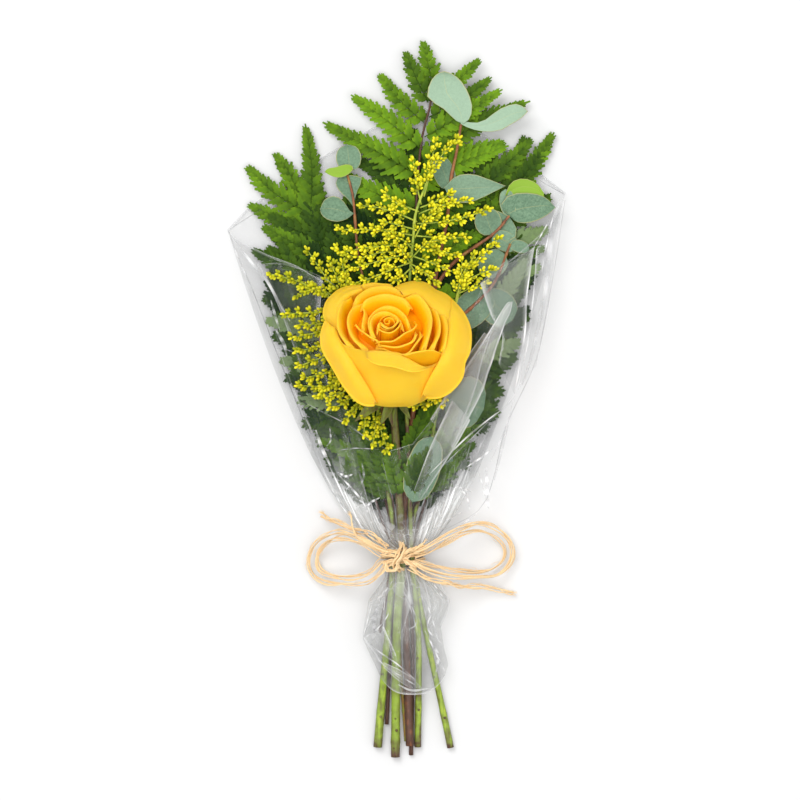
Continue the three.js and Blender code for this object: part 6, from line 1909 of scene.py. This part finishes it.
class BouquetSettings(bpy.types.PropertyGroup):
    petal_thickness: bpy.props.FloatProperty(
        name="Petal thickness", description="Thickness of a rose petal", default=0.00038, unit="LENGTH")
    # The petal colours from deep to rim hold painted shade between the petals as well as the petal's own
    # deeper orange at its foot.
    petal_depth: colour_property("Petal depth", "Colour deep between the petals", (1.0, 0.29, 0.0))
    petal_middle: colour_property("Petal middle", "Colour half way up a petal", (1.0, 0.38, 0.0))
    petal_face: colour_property("Petal face", "Colour of a petal's open face", (1.0, 0.455, 0.001))
    petal_rim: colour_property("Petal rim", "Colour along a petal's rim", (1.0, 0.52, 0.035))
    stem_green: colour_property("Stem green", "Colour of the fresh stems", (0.25, 0.36, 0.035))
    sepal_olive: colour_property("Sepal olive", "Colour of the sepals", (0.16, 0.19, 0.03))
    stem_brown: colour_property("Stem brown", "Colour of the woody stems and scars", (0.09, 0.04, 0.025))
    # The fern's green runs from deep to lit; leaflets in painted shade take the deep end.
    fern_deep: colour_property("Fern deep", "Darkest green of the fern", (0.006, 0.022, 0.005))
    fern_lit: colour_property("Fern lit", "Brightest green of the fern", (0.155, 0.285, 0.01))
    fern_rib: colour_property("Fern rib", "Colour along the leaflets' ribs", (0.09, 0.23, 0.012))
    fern_underside: colour_property("Fern underside", "Pale green of a leaflet's back", (0.36, 0.48, 0.24))
    eucalyptus_light: colour_property("Eucalyptus light", "Waxy bloom of the leaves", (0.165, 0.275, 0.17))
    eucalyptus_bloom: colour_property("Eucalyptus bloom", "Palest bloom of the leaves", (0.42, 0.57, 0.42))
    eucalyptus_dark: colour_property("Eucalyptus dark", "Leaf colour under the bloom", (0.07, 0.14, 0.08))
    eucalyptus_rim: colour_property("Eucalyptus rim", "Fine rim of each leaf", (0.5, 0.46, 0.2))
    eucalyptus_bark: colour_property("Eucalyptus bark", "Colour of the thin stems", (0.33, 0.12, 0.045))
    lime_leaf: colour_property("Young leaf", "Colour of the young leaves", (0.22, 0.37, 0.03))
    bud_length: bpy.props.FloatProperty(
        name="Bud length", description="Length of a goldenrod bud", default=0.0034, unit="LENGTH")
    # A bud's colours from foot to tip hold painted shade at the foot and a painted highlight at the tip, as
    # well as its own greener foot.
    goldenrod_base: colour_property("Bud base", "Greener foot of a bud", (0.2, 0.25, 0.006))
    goldenrod_face: colour_property("Bud face", "Colour of a bud", (0.66, 0.6, 0.006))
    goldenrod_tip: colour_property("Bud tip", "Colour of a bud's tip", (0.9, 0.82, 0.03))
    goldenrod_twig: colour_property("Twig", "Colour of the fine twigs", (0.5, 0.55, 0.06))
    film_tint: colour_property("Film tint", "Grey veil of the clear film", (0.13, 0.135, 0.14))
    # The haze stands for light reflected off the film: painted reflection.
    film_haze: colour_property("Film haze", "Pale haze of a loose flap", (0.64, 0.65, 0.64))
    film_alpha: bpy.props.FloatProperty(
        name="Film veil", description="How much a smooth layer of film hides", default=0.075, min=0, max=1)
    # Raffia dark and light are painted shade between the fibres and painted highlight on them.
    raffia_dark: colour_property("Raffia dark", "Between the fibres", (0.66, 0.39, 0.15))
    raffia_face: colour_property("Raffia", "Colour of a strand", (0.97, 0.67, 0.35))
    raffia_light: colour_property("Raffia light", "Lit fibres", (1.0, 0.8, 0.5))
    sky_strength: bpy.props.FloatProperty(
        name="Sky strength", description="Brightness of the even studio light", default=0.6)
    key_power: bpy.props.FloatProperty(
        name="Key light", description="Power of the main soft light", default=29.0, unit="POWER")
    camera_height: bpy.props.FloatProperty(
        name="Camera height", description="How far above the surface the camera hangs", default=3.0,
        unit="LENGTH")
    view_width: bpy.props.FloatProperty(
        name="View width", description="Width of the surface that the camera sees", default=0.44,
        unit="LENGTH")


class BOUQUET_OT_rose(bpy.types.Operator):
    """Model the rose's petals"""
    bl_idname = "bouquet.rose"
    bl_label = "Rose bloom"

    def execute(self, context):
        make_rose(context.scene.bouquet)
        return {"FINISHED"}


class BOUQUET_OT_rose_stem(bpy.types.Operator):
    """Model the rose's stem, hip and sepals"""
    bl_idname = "bouquet.rose_stem"
    bl_label = "Rose stem"

    def execute(self, context):
        make_rose_stem(context.scene.bouquet)
        return {"FINISHED"}


class BOUQUET_OT_ferns(bpy.types.Operator):
    """Model the five fern fronds"""
    bl_idname = "bouquet.ferns"
    bl_label = "Fern fronds"

    def execute(self, context):
        make_ferns(context.scene.bouquet)
        return {"FINISHED"}


class BOUQUET_OT_eucalyptus(bpy.types.Operator):
    """Model the two eucalyptus sprigs"""
    bl_idname = "bouquet.eucalyptus"
    bl_label = "Eucalyptus sprigs"

    def execute(self, context):
        make_eucalyptus(context.scene.bouquet)
        return {"FINISHED"}


class BOUQUET_OT_goldenrod(bpy.types.Operator):
    """Model the three goldenrod sprays"""
    bl_idname = "bouquet.goldenrod"
    bl_label = "Goldenrod sprays"

    def execute(self, context):
        make_goldenrod(context.scene.bouquet)
        return {"FINISHED"}


class BOUQUET_OT_raffia_bow(bpy.types.Operator):
    """Model the free strands of the raffia bow"""
    bl_idname = "bouquet.raffia_bow"
    bl_label = "Raffia bow"

    def execute(self, context):
        make_raffia_bow(context.scene.bouquet)
        return {"FINISHED"}


class BOUQUET_OT_raffia_turns(bpy.types.Operator):
    """Model the raffia turns round the neck and their knot"""
    bl_idname = "bouquet.raffia_turns"
    bl_label = "Raffia turns and knot"

    def execute(self, context):
        make_raffia_turns(context.scene.bouquet)
        return {"FINISHED"}


class BOUQUET_OT_film(bpy.types.Operator):
    """Model the clear film wrapper"""
    bl_idname = "bouquet.film"
    bl_label = "Clear film"

    def execute(self, context):
        make_film(context.scene.bouquet)
        return {"FINISHED"}


class BOUQUET_OT_stage(bpy.types.Operator):
    """Set up the floor, the light and the camera"""
    bl_idname = "bouquet.stage"
    bl_label = "Stage"

    def execute(self, context):
        make_stage(context.scene.bouquet)
        return {"FINISHED"}


STEPS = (
    BOUQUET_OT_stage,
    BOUQUET_OT_raffia_bow,
    BOUQUET_OT_raffia_turns,
    BOUQUET_OT_rose,
    BOUQUET_OT_rose_stem,
    BOUQUET_OT_ferns,
    BOUQUET_OT_eucalyptus,
    BOUQUET_OT_goldenrod,
    BOUQUET_OT_film,
)


class BOUQUET_PT_steps(bpy.types.Panel):
    """Lists the steps that build the bouquet, and its sizes and colours"""
    bl_idname = "BOUQUET_PT_steps"
    bl_label = "Tied rose bouquet"
    bl_space_type = "VIEW_3D"
    bl_region_type = "UI"
    bl_category = "Bouquet"

    def draw(self, context):
        for step in STEPS:
            self.layout.operator(step.bl_idname)
        for name in BouquetSettings.__annotations__:
            self.layout.prop(context.scene.bouquet, name)


CLASSES = (BouquetSettings, *STEPS, BOUQUET_PT_steps)


def register():
    for made in CLASSES:
        bpy.utils.register_class(made)
    bpy.types.Scene.bouquet = bpy.props.PointerProperty(type=BouquetSettings)


def unregister():
    del bpy.types.Scene.bouquet
    for made in reversed(CLASSES):
        bpy.utils.unregister_class(made)


def main():
    register()
    bpy.ops.bouquet.stage()
    bpy.ops.bouquet.raffia_bow()
    bpy.ops.bouquet.raffia_turns()
    bpy.ops.bouquet.rose()
    bpy.ops.bouquet.rose_stem()
    bpy.ops.bouquet.ferns()
    bpy.ops.bouquet.eucalyptus()
    bpy.ops.bouquet.goldenrod()
    bpy.ops.bouquet.film()


if __name__ == "__main__":
    main()
